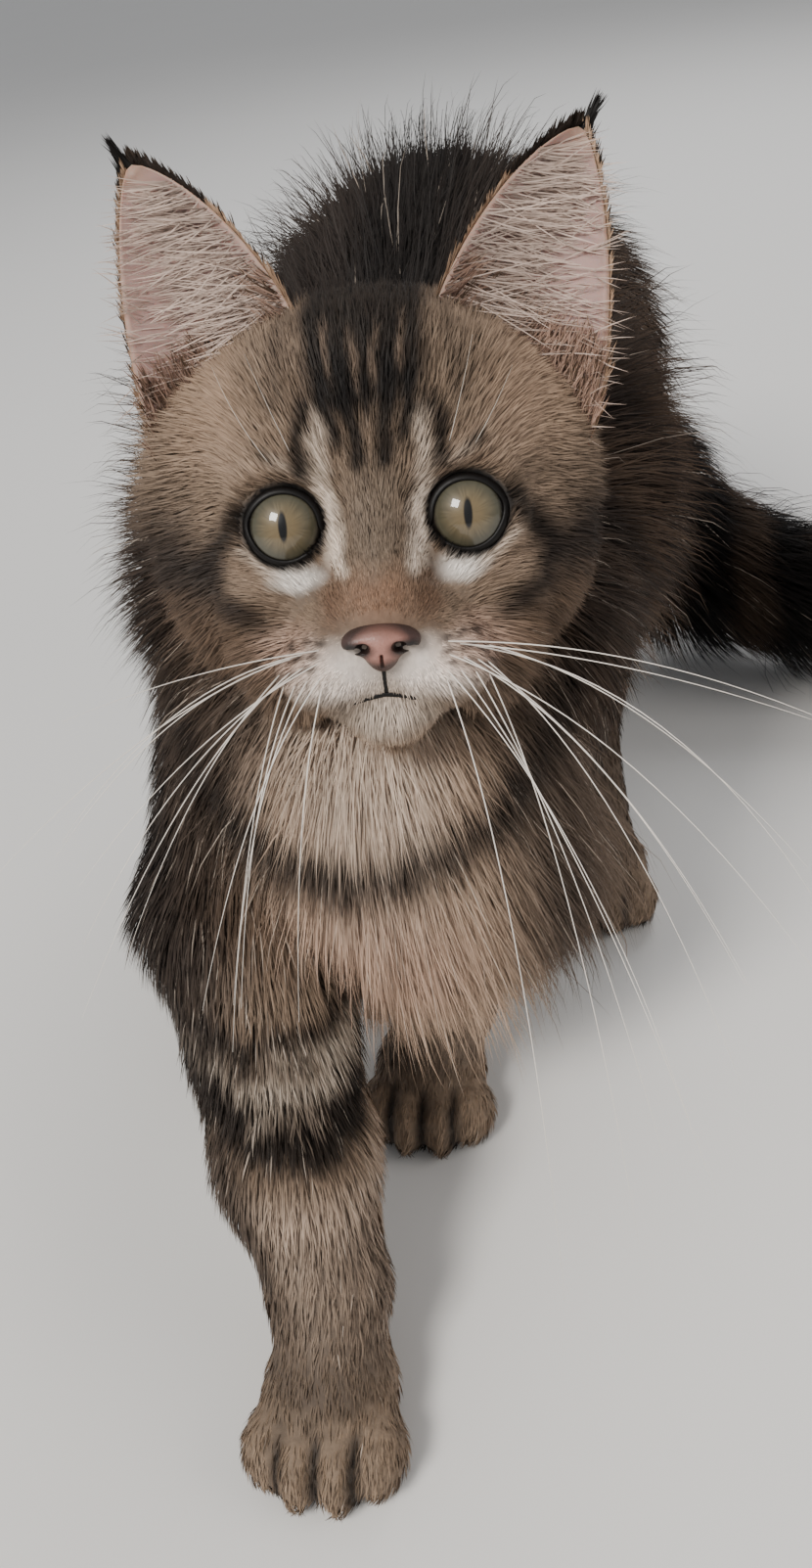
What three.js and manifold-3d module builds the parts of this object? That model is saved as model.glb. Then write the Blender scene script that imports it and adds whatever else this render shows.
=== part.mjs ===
// A long-haired tabby kitten with tufted ears, walking, life size, as a still model.
// Millimetres, +Z up, facing -Y. Flesh is a smooth blend of round masses, wrapped in a grid of rays.
// The long coat is flat, tapered locks on it.
import * as THREE from "three";
import { mergeVertices } from "three/addons/utils/BufferGeometryUtils.js";
import Module from "manifold-3d";

const wasm = await Module();
wasm.setup();
const V = (x, y, z) => new THREE.Vector3(x, y, z);
const rad = THREE.MathUtils.degToRad;

// Stance: the body runs back from its start at an angle to the walk.
// The head looks up and a little aside.
const BODY_START = V(-34, 0, 0);
const BODY_YAW = -14;
const EYE_MIDDLE = V(2.4, 91.7, 170.5);
const HEAD_PITCH = 22;
const HEAD_YAW = 3.6;
const HEAD_ROLL = 3.5;
const GAP = 0.42; // between touching pieces
const FLOOR_BLOCK = 900;

// Eyes, in the head's own frame: x to the kitten's left, y up, z out of the face.
const EYE_AT = V(17, 0, -7.4);
const EYE_RADIUS = 9.3;
const LID_THICKNESS = 1.3;
const LID_OPENING = 7.3;

// Ears
const EAR_INNER = V(13, 36, -25);
const EAR_OUTER = V(44, 15, -29);
const EAR_TIP = V(44.5, 70, -34);
const EAR_THICKNESS = 1.5;
const EAR_CUP = 13;
const EAR_SINK = 5;

// Coat: how long and wide the locks are in each place, and how far the dense underfur lifts their roots
const COAT = {
  body: { length: 40, width: 30, thick: 6, lift: 9, tipLift: 12, sink: 5 },
  bib: { length: 36, width: 24, thick: 6, lift: 9, tipLift: 7, sink: 5 },
  ruff: { length: 31, width: 21, thick: 5, lift: 8, tipLift: 8, sink: 4 },
  cheek: { length: 17, width: 13, thick: 3.4, lift: 3, tipLift: 4, sink: 3 },
  tail: { length: 36, width: 20, thick: 5, lift: 7, tipLift: 9, sink: 4 },
  thigh: { length: 32, width: 23, thick: 5, lift: 7, tipLift: 8, sink: 4 },
  leg: { length: 21, width: 14, thick: 3.4, lift: 4, tipLift: 4.5, sink: 3 },
};
const UNDERFUR = { torso: 6, neck: 4, thigh: 4, tail: 4, foreleg: 1.5 };
const underfur = (name) => UNDERFUR[name.split("_")[0]] ?? 0;

// A repeatable random draw
function seeded(seed) {
  let a = seed;
  return () => {
    a = (a + 0x6d2b79f5) | 0;
    let t = Math.imul(a ^ (a >>> 15), 1 | a);
    t = (t + Math.imul(t ^ (t >>> 7), 61 | t)) ^ t;
    return ((t ^ (t >>> 14)) >>> 0) / 4294967296;
  };
}

// Fields: a negative value is inside. A ball mass has a centre and three radii,
// a limb mass two ends and two radii.
const ball = (at, radii) => (p) => {
  const x = p.x - at.x;
  const y = p.y - at.y;
  const z = p.z - at.z;
  const near = Math.hypot(x / radii.x, y / radii.y, z / radii.z);
  const far = Math.hypot(x / radii.x ** 2, y / radii.y ** 2, z / radii.z ** 2);
  return far < 1e-9 ? -Math.min(radii.x, radii.y, radii.z) : (near * (near - 1)) / far;
};

const limb = (a, b, ra, rb) => {
  const along = b.clone().sub(a);
  const square = along.lengthSq();
  return (p) => {
    const h = THREE.MathUtils.clamp(p.clone().sub(a).dot(along) / square, 0, 1);
    return p.distanceTo(a.clone().addScaledVector(along, h)) - ra - (rb - ra) * h;
  };
};

const blend = (masses, soft) => (p) => {
  let d = masses[0](p);
  for (const mass of masses.slice(1)) {
    const e = mass(p);
    const h = Math.max(soft - Math.abs(d - e), 0) / soft;
    d = Math.min(d, e) - (h * h * soft) / 4;
  }
  return d;
};

const mirrorX = (v) => V(-v.x, v.y, v.z);
const slope = (field, p) => {
  const e = 0.2;
  return V(
    field(V(p.x + e, p.y, p.z)) - field(V(p.x - e, p.y, p.z)),
    field(V(p.x, p.y + e, p.z)) - field(V(p.x, p.y - e, p.z)),
    field(V(p.x, p.y, p.z + e)) - field(V(p.x, p.y, p.z - e)),
  ).normalize();
};

// The place where a ray from inside a field crosses the given level
function reach(field, from, way, level) {
  let far = 0;
  for (let i = 0; i < 160; i++) {
    const d = field(from.clone().addScaledVector(way, far)) - level;
    if (d > -0.01) break;
    far += Math.max(-d * 0.7, 0.05);
  }
  return from.clone().addScaledVector(way, far);
}

// A grid of triangles from rows of points. Each row is a closed ring, and the ends close on a point.
function ringsToGeometry(first, rings, last) {
  const sides = rings[0].length;
  const points = [first, ...rings.flat(), last];
  const faces = [];
  const at = (ring, side) => 1 + ring * sides + (side % sides);
  for (let s = 0; s < sides; s++) {
    faces.push(0, at(0, s + 1), at(0, s));
    for (let r = 0; r < rings.length - 1; r++) {
      faces.push(at(r, s), at(r, s + 1), at(r + 1, s + 1));
      faces.push(at(r, s), at(r + 1, s + 1), at(r + 1, s));
    }
    faces.push(points.length - 1, at(rings.length - 1, s), at(rings.length - 1, s + 1));
  }
  const geometry = new THREE.BufferGeometry();
  const numbers = points.flatMap((p) => [p.x, p.y, p.z]);
  geometry.setAttribute("position", new THREE.Float32BufferAttribute(numbers, 3));
  geometry.setIndex(faces);
  return geometry;
}

// A fleshy form: a field, and a spine that the rays start from
class Form {
  constructor(field, spine, { sides, along, cap, up = V(0, 0, 1) }) {
    Object.assign(this, { field, sides, along, cap, up });
    this.spine = new THREE.CatmullRomCurve3(spine);
  }

  frame(t) {
    const tangent = this.spine.getTangent(t);
    const side = tangent.clone().cross(this.up).normalize();
    return { at: this.spine.getPoint(t), tangent, side, top: side.clone().cross(tangent) };
  }

  // tilt is 0 across the spine, -90 at its start and 90 at its end; turn 0 is to the side and 90 is on top
  surface(t, turn, tilt = 0, level = 0) {
    const { at, tangent, side, top } = this.frame(t);
    const way = side.multiplyScalar(Math.cos(rad(turn))).addScaledVector(top, Math.sin(rad(turn)));
    way.multiplyScalar(Math.cos(rad(tilt))).addScaledVector(tangent, Math.sin(rad(tilt)));
    return reach(this.field, at, way, level);
  }

  geometry(level = 0) {
    const rings = [];
    const ring = (t, tilt) => {
      const place = (_, i) => this.surface(t, (360 * i) / this.sides, tilt, level);
      rings.push(Array.from({ length: this.sides }, place));
    };
    for (let i = 1; i < this.cap; i++) ring(0, -90 + (90 * i) / this.cap);
    for (let i = 0; i <= this.along; i++) ring(i / this.along, 0);
    for (let i = 1; i < this.cap; i++) ring(1, (90 * i) / this.cap);
    return ringsToGeometry(this.surface(0, 0, -90, level), rings, this.surface(1, 0, 90, level));
  }
}

// Solids: made from closed geometries, with their faces turned out
function solid(geometry, matrix) {
  const bare = new THREE.BufferGeometry();
  bare.setAttribute("position", geometry.getAttribute("position").clone());
  if (geometry.index) bare.setIndex(geometry.index);
  if (matrix) bare.applyMatrix4(matrix);
  const merged = mergeVertices(bare, 1e-4);
  const triVerts = new Uint32Array(merged.index.array);
  const make = () =>
    new wasm.Manifold(new wasm.Mesh({ numProp: 3, vertProperties: merged.attributes.position.array, triVerts }));
  const made = make();
  if (made.volume() > 0) return made;
  for (let i = 0; i < triVerts.length; i += 3) {
    [triVerts[i + 1], triVerts[i + 2]] = [triVerts[i + 2], triVerts[i + 1]];
  }
  return make();
}

const join = (solids) => wasm.Manifold.union(solids);
const largest = (made) => made.decompose().sort((a, b) => b.volume() - a.volume())[0];

// Where a lock's sections are along it, and their share of its width
const LONG_LOCK = 37;
const SHORT_STATIONS = [[0, 0.8], [0.4, 1], [0.75, 0.7]];
const LONG_STATIONS = [[0, 0.8], [0.33, 1], [0.62, 0.86], [0.86, 0.44]];

// A flat, tapered lock that leaves the surface, bends over and lies along the coat. grow widens it all round.
function lock({ root, out, lie, size, scale = 1, sway = 0, grow = 0 }) {
  const side = lie.clone().cross(out).normalize();
  const length = size.length * scale;
  const start = root.clone().addScaledVector(out, -size.sink);
  const knee = root.clone().addScaledVector(out, size.lift * scale).addScaledVector(lie, length * 0.4);
  const tip = root.clone().addScaledVector(out, size.tipLift * scale).addScaledVector(lie, length + grow * 2);
  tip.addScaledVector(side, sway * length);
  const path = new THREE.QuadraticBezierCurve3(start, knee, tip);
  const stations = size.length < LONG_LOCK ? SHORT_STATIONS : LONG_STATIONS;
  const rings = stations.map(([t, share]) => {
    const at = path.getPoint(t);
    const face = side.clone().cross(path.getTangent(t)).normalize();
    const wide = (size.width * scale * share) / 2 + grow;
    const thick = (size.thick * scale * Math.sqrt(share)) / 2 + grow;
    return [
      at.clone().addScaledVector(side, wide),
      at.clone().addScaledVector(face, thick),
      at.clone().addScaledVector(side, -wide),
      at.clone().addScaledVector(face, -thick),
    ];
  });
  return ringsToGeometry(start.clone().addScaledVector(out, -1 - grow), rings, tip);
}

// A round tapered sweep through points, with a radius at each
function sweep(points, radii, sides) {
  const path = new THREE.CatmullRomCurve3(points);
  const frames = path.computeFrenetFrames(points.length - 1, false);
  const rings = points.map((p, i) =>
    Array.from({ length: sides }, (_, k) => {
      const turn = (2 * Math.PI * k) / sides;
      return p
        .clone()
        .addScaledVector(frames.normals[i], radii[i] * Math.cos(turn))
        .addScaledVector(frames.binormals[i], radii[i] * Math.sin(turn));
    }),
  );
  const ends = [points[0].clone(), points[points.length - 1].clone()];
  ends[0].addScaledVector(path.getTangent(0), -radii[0] * 0.5);
  ends[1].addScaledVector(path.getTangent(1), radii[radii.length - 1]);
  return ringsToGeometry(ends[0], rings, ends[1]);
}

// Frames that the pieces are drawn in
const root = new THREE.Group();
const body = new THREE.Group();
body.position.copy(BODY_START);
body.rotation.z = rad(BODY_YAW);
const head = new THREE.Group();
{
  const [yaw, pitch, roll] = [HEAD_YAW, HEAD_PITCH, HEAD_ROLL].map(rad);
  const out = V(-Math.sin(yaw) * Math.cos(pitch), -Math.cos(yaw) * Math.cos(pitch), Math.sin(pitch));
  const up = V(Math.sin(yaw) * Math.sin(pitch), Math.cos(yaw) * Math.sin(pitch), Math.cos(pitch));
  const left = up.clone().cross(out);
  const tiltedUp = up.clone().multiplyScalar(Math.cos(roll)).addScaledVector(left, Math.sin(roll));
  const tiltedLeft = tiltedUp.clone().cross(out);
  head.applyMatrix4(new THREE.Matrix4().makeBasis(tiltedLeft, tiltedUp, out));
  head.position.copy(EYE_MIDDLE);
}
root.add(body, head);
root.updateMatrixWorld(true);
const bodyToRow = body.matrixWorld.clone();
const headToRow = head.matrixWorld.clone();

// Torso masses, in the body frame: x to the left, y back, z up
const TORSO = [
  [V(0, 126, 96), V(35, 35, 37)], // breast
  [V(0, 158, 120), V(43, 42, 44)], // shoulders
  [V(0, 205, 122), V(47, 56, 47)], // ribs
  [V(0, 250, 118), V(46, 48, 42)], // belly
  [V(0, 258, 140), V(36, 50, 37)], // loin
  [V(0, 292, 140), V(44, 42, 41)], // hips
  [V(0, 314, 132), V(32, 29, 34)], // rump
];
const torsoForm = new Form(
  blend(TORSO.map(([at, radii]) => ball(at, radii)), 14),
  [V(0, 132, 104), V(0, 170, 120), V(0, 220, 124), V(0, 270, 134), V(0, 306, 136)],
  { sides: 18, along: 7, cap: 3 },
);

const NECK_TOP = V(9, 140, 146);
const NECK_LOW = V(3, 140, 120);
const neckForm = new Form(
  blend([limb(NECK_TOP, NECK_LOW, 29, 35), ball(V(2, 128, 112), V(31, 30, 26))], 12),
  [NECK_TOP, V(3, 138, 116)],
  { sides: 18, along: 3, cap: 4, up: V(0, 1, 0) },
);

// Head masses, in the head frame
const HEAD = [
  [V(0, 7, -32), V(38, 32, 34)], // skull
  [V(0, 15, -15), V(27, 19, 14)], // forehead
  [V(15.5, 8.5, -11), V(12, 7.5, 8)], // brows
  [V(-15.5, 8.5, -11), V(12, 7.5, 8)],
  [V(22, -9, -24), V(19.5, 19, 18)], // cheeks
  [V(-22, -9, -24), V(19.5, 19, 18)],
  [V(16, -13, -9.5), V(12.5, 9, 9)], // under the eyes
  [V(-16, -13, -9.5), V(12.5, 9, 9)],
  [V(11, -24, -12), V(13, 10.5, 14)], // jaw
  [V(-11, -24, -12), V(13, 10.5, 14)],
  [V(9.2, -26, 6.6), V(10, 7, 9)], // whisker pads
  [V(-9.2, -26, 6.6), V(10, 7, 9)],
  [V(0, -33.2, 1.5), V(9, 6, 9)], // chin
  [V(0, -20, 1), V(14, 10, 14)], // muzzle
];
const NOSE_BRIDGE = [V(0, 4, -6.4), V(0, -17.2, 10.6), 8.6, 6.2];
const headField = blend(
  [...HEAD.map(([at, radii]) => ball(at, radii)), limb(...NOSE_BRIDGE)],
  5,
);
const headForm = new Form(headField, [V(0, 2, -34), V(0, -6, -16), V(0, -22, -2)], {
  sides: 28,
  along: 6,
  cap: 6,
  up: V(0, 1, 0),
});

// How far out of the face the surface is, over a point of the face
function faceDepth(x, y) {
  let z = 30;
  while (z > -40 && headField(V(x, y, z)) > 0) z -= 0.1;
  return z;
}

const NOSE = [
  [V(0, -19.6, 15.4), V(6.2, 3, 3.9)],
  [V(0, -22.6, 14.5), V(3.2, 3, 4.1)],
];
const noseForm = new Form(
  blend(NOSE.map(([at, radii]) => ball(at, radii)), 3),
  [V(-2.4, -21, 15), V(2.4, -21, 15)],
  { sides: 10, along: 3, cap: 3 },
);

// Limbs, in the body frame
const limbForm = (joints, radii, shape) => {
  const masses = joints.slice(1).map((joint, i) => limb(joints[i], joint, radii[i], radii[i + 1]));
  return new Form(masses.length > 1 ? blend(masses, 8) : masses[0], joints, shape);
};
const LIMB_SHAPE = { sides: 11, along: 6, cap: 2, up: V(0, 1, 0.3) };
const JOINTS = {
  foreleg_right: [[V(-24, 146, 112), V(-32, 97, 76), V(-17, 54, 41), V(-9, 35, 23)], [27, 20, 15, 12.6]],
  foreleg_left: [[V(24, 146, 112), V(23, 160, 76), V(12, 134, 44), V(7, 118, 25)], [27, 19, 14.5, 12.4]],
  thigh_left: [[V(22, 292, 134), V(37, 240, 100)], [35, 25]],
  thigh_right: [[V(-22, 292, 134), V(-27, 272, 88)], [35, 26]],
  shank_left: [[V(38, 236, 96), V(39, 226, 40)], [22, 11.5]],
  shank_right: [[V(-28, 276, 84), V(-28, 318, 42)], [22, 11.5]],
};
const FOREPAWS = { forepaw_right: V(-6.8, 15.5, 0), forepaw_left: V(3, 103, 0) };
const HINDPAWS = {
  hindpaw_left: [V(45, 184, 0), V(39, 226, 38)],
  hindpaw_right: [V(-26, 284, 0), V(-28, 318, 40)],
};

// Paw: a palm, a wrist and four toes in an arc, pressed a little into the floor so that the soles are flat
const TOE_SPREAD = [-11.6, -4.2, 4.2, 11.6];
const TOE_REACH = [-7.5, -12.6, -12.6, -7.5];
const TOE_RADII = V(5.3, 8.8, 7.8);
const SOLE_PRESS = 0.9;
function pawForm(at, heel, heelRadius) {
  const palm = V(at.x, at.y + 3, 11);
  const masses = [ball(palm, V(14.2, 13.5, 11.9)), limb(palm, heel, 11, heelRadius)];
  TOE_SPREAD.forEach((spread, i) =>
    masses.push(ball(V(at.x + spread, at.y + TOE_REACH[i], TOE_RADII.z - SOLE_PRESS), TOE_RADII)),
  );
  const spine = [palm.clone().lerp(heel, 0.35), palm.clone(), V(at.x, at.y - 3, 9.5)];
  return new Form(blend(masses, 2.6), spine, { sides: 18, along: 2, cap: 4, up: V(0, 0, 1) });
}

// Tail: one bent line, made in three lengths
const TAIL_LINE = new THREE.CatmullRomCurve3([
  V(0, 334, 142),
  V(21, 353, 112),
  V(50, 344, 68),
  V(78, 324, 42),
  V(116, 313, 33),
  V(152, 306, 31),
]);
const TAIL_RADIUS = (t) => 13 + 4 * Math.sin(Math.PI * Math.min(t * 1.15, 1)) - 7 * t ** 3;
const tailForm = (from, to) => {
  const points = Array.from({ length: 5 }, (_, i) => from + ((to - from) * i) / 4);
  const at = points.map((t) => TAIL_LINE.getPointAt(t));
  return limbForm(at, points.map(TAIL_RADIUS), { sides: 10, along: 4, cap: 2, up: V(0.3, 1, 0.2) });
};

// Forms by node, in the order in which they keep their place: a later one is cut clear of an earlier one
const FORMS = new Map([
  ["torso", torsoForm],
  ["neck", neckForm],
  ["forepaw_right", pawForm(FOREPAWS.forepaw_right, V(-8.4, 34, 22.5), 12.8)],
  ["forepaw_left", pawForm(FOREPAWS.forepaw_left, V(6.6, 117, 24), 12.5)],
  ["hindpaw_left", pawForm(HINDPAWS.hindpaw_left[0], HINDPAWS.hindpaw_left[1], 10.5)],
  ["hindpaw_right", pawForm(HINDPAWS.hindpaw_right[0], HINDPAWS.hindpaw_right[1], 10.5)],
  ...["foreleg_right", "foreleg_left", "thigh_left", "thigh_right", "shank_left", "shank_right"].map((name) => [
    name,
    limbForm(...JOINTS[name], LIMB_SHAPE),
  ]),
  ["tail_base", tailForm(0, 0.34)],
  ["tail_middle", tailForm(0.34, 0.68)],
  ["tail_tip", tailForm(0.68, 1)],
]);

// Locks, each with the form it grows on and the way it lies
const locksOf = new Map([...FORMS.keys(), "head"].map((name) => [name, []]));
const covered = (name, p, depth) =>
  [...FORMS].some(([other, form]) => other !== name && form.field(p) < underfur(other) + depth);

function addLock(name, form, spot, lieWay, size, random, options = {}) {
  const out = slope(form.field, spot);
  if (options.skip && options.skip(spot, out)) return;
  if (name !== "head" && covered(name, spot, options.near ?? 0)) return;
  const lie = lieWay.clone().addScaledVector(out, -lieWay.dot(out)).normalize();
  const scale = 0.88 + 0.24 * random();
  locksOf.get(name).push({ root: spot, out, lie, size, scale, sway: (random() - 0.5) * 0.3 });
}

// Torso coat: rows of locks from the chest to the rump, lying back and down, with a bib that hangs in front
{
  const random = seeded(11);
  const BIB_ROWS = [[-74, 4], [-50, 8], [-22, 10]];
  for (const [tilt, count] of BIB_ROWS) {
    for (let i = 0; i < count; i++) {
      const turn = ((i + 0.4 * random()) * 360) / count;
      const spot = torsoForm.surface(0, turn, tilt, underfur("torso"));
      addLock("torso", torsoForm, spot, V(0, 0.2, -1), COAT.bib, random, { skip: (p) => p.z > 136 });
    }
  }
  const BODY_ROWS = 6;
  const BODY_COLUMNS = 9;
  for (let row = 0; row < BODY_ROWS; row++) {
    const t = 0.1 + (0.93 * row) / BODY_ROWS;
    for (let i = 0; i < BODY_COLUMNS; i++) {
      const turn = ((i + (row % 2) / 2 + 0.3 * (random() - 0.5)) * 360) / BODY_COLUMNS;
      const spot = torsoForm.surface(t, turn, 0, underfur("torso"));
      addLock("torso", torsoForm, spot, V(0, 1, -0.6), COAT.body, random);
    }
  }
  for (let i = 0; i < 6; i++) {
    const spot = torsoForm.surface(1, i * 60, 38, underfur("torso"));
    addLock("torso", torsoForm, spot, V(0, 0.3, -1), COAT.thigh, random);
  }
}

// Ruff round the neck
{
  const random = seeded(23);
  for (const [t, count] of [[0.35, 9], [0.95, 10]]) {
    for (let i = 0; i < count; i++) {
      const spot = neckForm.surface(t, ((i + 0.5 * (t > 0.5)) * 360) / count, 0, underfur("neck"));
      addLock("neck", neckForm, spot, V(0, 0.3, -1), COAT.ruff, random, { near: -1 });
    }
  }
}

// Thighs, forelegs and tail
{
  const random = seeded(37);
  for (const side of ["left", "right"]) {
    const thigh = FORMS.get("thigh_" + side);
    for (const t of [0.3, 0.8]) {
      for (let i = 0; i < 7; i++) {
        const spot = thigh.surface(t, (i + t) * 51.4, 0, underfur("thigh"));
        addLock("thigh_" + side, thigh, spot, V(0, 0.45, -1), COAT.thigh, random, { near: 1 });
      }
    }
    const foreleg = FORMS.get("foreleg_" + side);
    for (const t of [0.45, 0.7]) {
      for (let i = 0; i < 5; i++) {
        const spot = foreleg.surface(t, (i + t * 2) * 72, 0, underfur("foreleg"));
        addLock("foreleg_" + side, foreleg, spot, V(0, 0.2, -1), COAT.leg, random, { near: 2 });
      }
    }
  }
  for (const name of ["tail_base", "tail_middle", "tail_tip"]) {
    const form = FORMS.get(name);
    for (const t of [0.2, 0.7]) {
      for (let i = 0; i < 5; i++) {
        const spot = form.surface(t, (i + t * 1.4) * 72, 0, underfur("tail"));
        addLock(name, form, spot, form.frame(t).tangent, COAT.tail, random, { near: 0.5 });
      }
    }
  }
  const tip = FORMS.get("tail_tip");
  for (let i = 0; i < 3; i++) {
    const root = tip.surface(1, i * 120, 30, underfur("tail"));
    addLock("tail_tip", tip, root, tip.frame(1).tangent, COAT.tail, random);
  }
}

// Cheek fringe, in the head frame
{
  const random = seeded(41);
  for (const sign of [1, -1]) {
    for (let i = 0; i < 5; i++) {
      const angle = 5 - 22 * i;
      const spot = headForm.surface(0.25, sign > 0 ? 180 - angle : angle);
      addLock("head", headForm, spot, V(sign * 0.7, -0.8, -0.5), COAT.cheek, random);
    }
  }
}

// Solids in the row frame
const floor = solid(
  new THREE.BoxGeometry(FLOOR_BLOCK, FLOOR_BLOCK, 40),
  new THREE.Matrix4().makeTranslation(0, 100, -20),
);
const core = (name, form, grow) => solid(form.geometry(underfur(name) + grow), bodyToRow);
const cores = new Map([...FORMS].map(([name, form]) => [name, core(name, form, 0)]));
const clearOf = new Map([...FORMS].map(([name, form]) => [name, core(name, form, GAP)]));
cores.set("head", solid(headForm.geometry(), headToRow));
clearOf.set("head", solid(headForm.geometry(GAP), headToRow));
cores.set("nose", solid(noseForm.geometry(), headToRow));
clearOf.set("nose", solid(noseForm.geometry(GAP), headToRow));

// Nostrils, cut into the nose
const NOSTRIL_AT = V(3.4, -21.1, 18.8);
const NOSTRIL_RADII = V(1.7, 1.1, 3.2);
for (const at of [NOSTRIL_AT, mirrorX(NOSTRIL_AT)]) {
  const hole = new THREE.SphereGeometry(1, 8, 6).scale(NOSTRIL_RADII.x, NOSTRIL_RADII.y, NOSTRIL_RADII.z);
  hole.rotateZ(at.x > 0 ? 0.5 : -0.5).translate(at.x, at.y, at.z);
  cores.set("nose", cores.get("nose").subtract(solid(hole, headToRow)));
}

// Eyes, and the lids round them as a thin shell with a round opening
const eyeBall = (at, radius) => new THREE.SphereGeometry(radius, 14, 9).translate(at.x, at.y, at.z);
for (const [side, at] of [["left", EYE_AT], ["right", mirrorX(EYE_AT)]]) {
  const lid = solid(eyeBall(at, EYE_RADIUS + GAP + LID_THICKNESS), headToRow);
  const socket = solid(eyeBall(at, EYE_RADIUS + GAP), headToRow);
  const opening = new THREE.CylinderGeometry(LID_OPENING * 1.9, LID_OPENING, 22, 20, 1).rotateX(Math.PI / 2);
  opening.translate(at.x, at.y, at.z + 11 + 5.5);
  cores.set("head", cores.get("head").add(lid).subtract(socket).subtract(solid(opening, headToRow)));
  cores.set("eye_" + side, solid(eyeBall(at, EYE_RADIUS), headToRow));
}

// Mouth line: down from the nose, then out along both lips
{
  const LIP = [[0, -24], [0, -29.6], [5, -31.6], [10, -32.2], [14.5, -30.8]];
  const groove = (sign) => {
    const points = LIP.map(([x, y]) => V(sign * x, y, faceDepth(sign * x, y) + 0.1));
    return solid(sweep(points, [0.9, 0.8, 0.9, 0.8, 0.5], 6), headToRow);
  };
  cores.set("head", cores.get("head").subtract(groove(1)).subtract(groove(-1)));
}

// Ears: a leaf that cups forward, thicker at its root, with tufts at its tip and inside
function earLeaf(sign) {
  const [inner, outer, tip] = [EAR_INNER, EAR_OUTER, EAR_TIP].map((v) => V(sign * v.x, v.y, v.z));
  const low = inner.clone().lerp(outer, 0.5);
  const rise = tip.clone().sub(low);
  const across = outer.clone().sub(inner);
  const back = across.clone().cross(rise).normalize().multiplyScalar(-sign);
  if (back.z > 0) back.negate();
  const ROWS = 6;
  const COLUMNS = 6;
  const spot = (row, column, face) => {
    const t = row / ROWS;
    const a = (2 * column) / COLUMNS - 1;
    const half = 0.5 * (1 - t ** 1.9) ** 0.8 + 0.03;
    const p = low.clone().addScaledVector(rise, t).addScaledVector(across, a * half);
    p.addScaledVector(rise.clone().normalize(), -EAR_SINK * (1 - t));
    const cup = EAR_CUP * (1 - a * a) * (1 - t) ** 0.7;
    p.addScaledVector(back, cup + face * EAR_THICKNESS * (1.5 - t));
    return p;
  };
  const rings = [];
  for (let row = 0; row <= ROWS; row++) {
    const front = [];
    const rear = [];
    for (let column = 0; column <= COLUMNS; column++) {
      front.push(spot(row, column, -0.5));
      rear.unshift(spot(row, column, 0.5));
    }
    rings.push([...front, ...rear]);
  }
  const geometry = ringsToGeometry(
    spot(0, COLUMNS / 2, 0),
    rings,
    spot(ROWS, COLUMNS / 2, 0).addScaledVector(rise, 0.01),
  );
  return { geometry, spot, back, rise: rise.clone().normalize(), across: across.clone().normalize() };
}
const TIP_TUFT = { length: 15, width: 5.5, thick: 1.8, lift: 0, tipLift: 1.5, sink: 3 };
const INNER_TUFT = { length: 22, width: 5, thick: 1.6, lift: 4, tipLift: 4.5, sink: 1.6 };
for (const [side, sign] of [["left", 1], ["right", -1]]) {
  const ear = earLeaf(sign);
  const tufts = [];
  for (let i = 0; i < 3; i++) {
    const start = ear.spot(6, 3, 0).addScaledVector(ear.rise, -2);
    const way = ear.rise.clone().addScaledVector(ear.across, 0.25 * (i - 1));
    const tuft = { root: start, out: ear.back.clone().negate(), lie: way.normalize(), size: TIP_TUFT };
    tufts.push(lock({ ...tuft, scale: 1 - 0.15 * i }));
  }
  for (let i = 0; i < 4; i++) {
    const start = ear.spot(1.2 + i * 0.8, 1 + 0.1 * i, -0.4);
    const way = ear.across.clone().addScaledVector(ear.rise, 0.1 * i - 0.1).normalize();
    const tuft = { root: start, out: ear.back.clone().negate(), lie: way, size: INNER_TUFT };
    tufts.push(lock({ ...tuft, scale: 1 - 0.1 * i }));
  }
  const whole = join([solid(ear.geometry, headToRow), ...tufts.map((tuft) => solid(tuft, headToRow))]);
  cores.set("ear_" + side, whole);
}

const matrixOf = (name) => (name === "head" ? headToRow : bodyToRow);
const lockSolids = new Map();
const lockClear = new Map();
for (const [name, locks] of locksOf) {
  if (!locks.length) continue;
  lockSolids.set(name, join(locks.map((one) => solid(lock(one), matrixOf(name)))));
  lockClear.set(name, join(locks.map((one) => solid(lock({ ...one, grow: GAP }), matrixOf(name)))));
}

// Each node keeps clear of those before it, and every lock keeps clear of every other node's flesh
const ORDER = ["head", ...FORMS.keys()];
const made = new Map();
ORDER.forEach((name, place) => {
  const before = ORDER.slice(0, place);
  let core = cores.get(name);
  if (before.length) core = core.subtract(join(before.map((other) => clearOf.get(other))));
  if (name === "head") core = core.subtract(clearOf.get("nose"));
  let whole = core;
  if (lockSolids.has(name)) {
    const others = ORDER.filter((other) => other !== name).map((other) => clearOf.get(other));
    const clear = before.filter((other) => lockClear.has(other)).map((other) => lockClear.get(other));
    let hair = lockSolids.get(name).subtract(join([...others, ...clear]));
    if (name === "head") {
      for (const at of [EYE_AT, mirrorX(EYE_AT)]) hair = hair.subtract(solid(eyeBall(at, 13), headToRow));
    }
    whole = core.add(hair);
  }
  made.set(name, largest(whole.subtract(floor)));
});
for (const side of ["left", "right"]) {
  const near = ["head", "neck", "torso"].flatMap((name) => [clearOf.get(name), lockClear.get(name)]);
  made.set("ear_" + side, largest(cores.get("ear_" + side).subtract(join(near))));
  made.set("eye_" + side, cores.get("eye_" + side));
}
made.set("nose", largest(cores.get("nose")));

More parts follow.
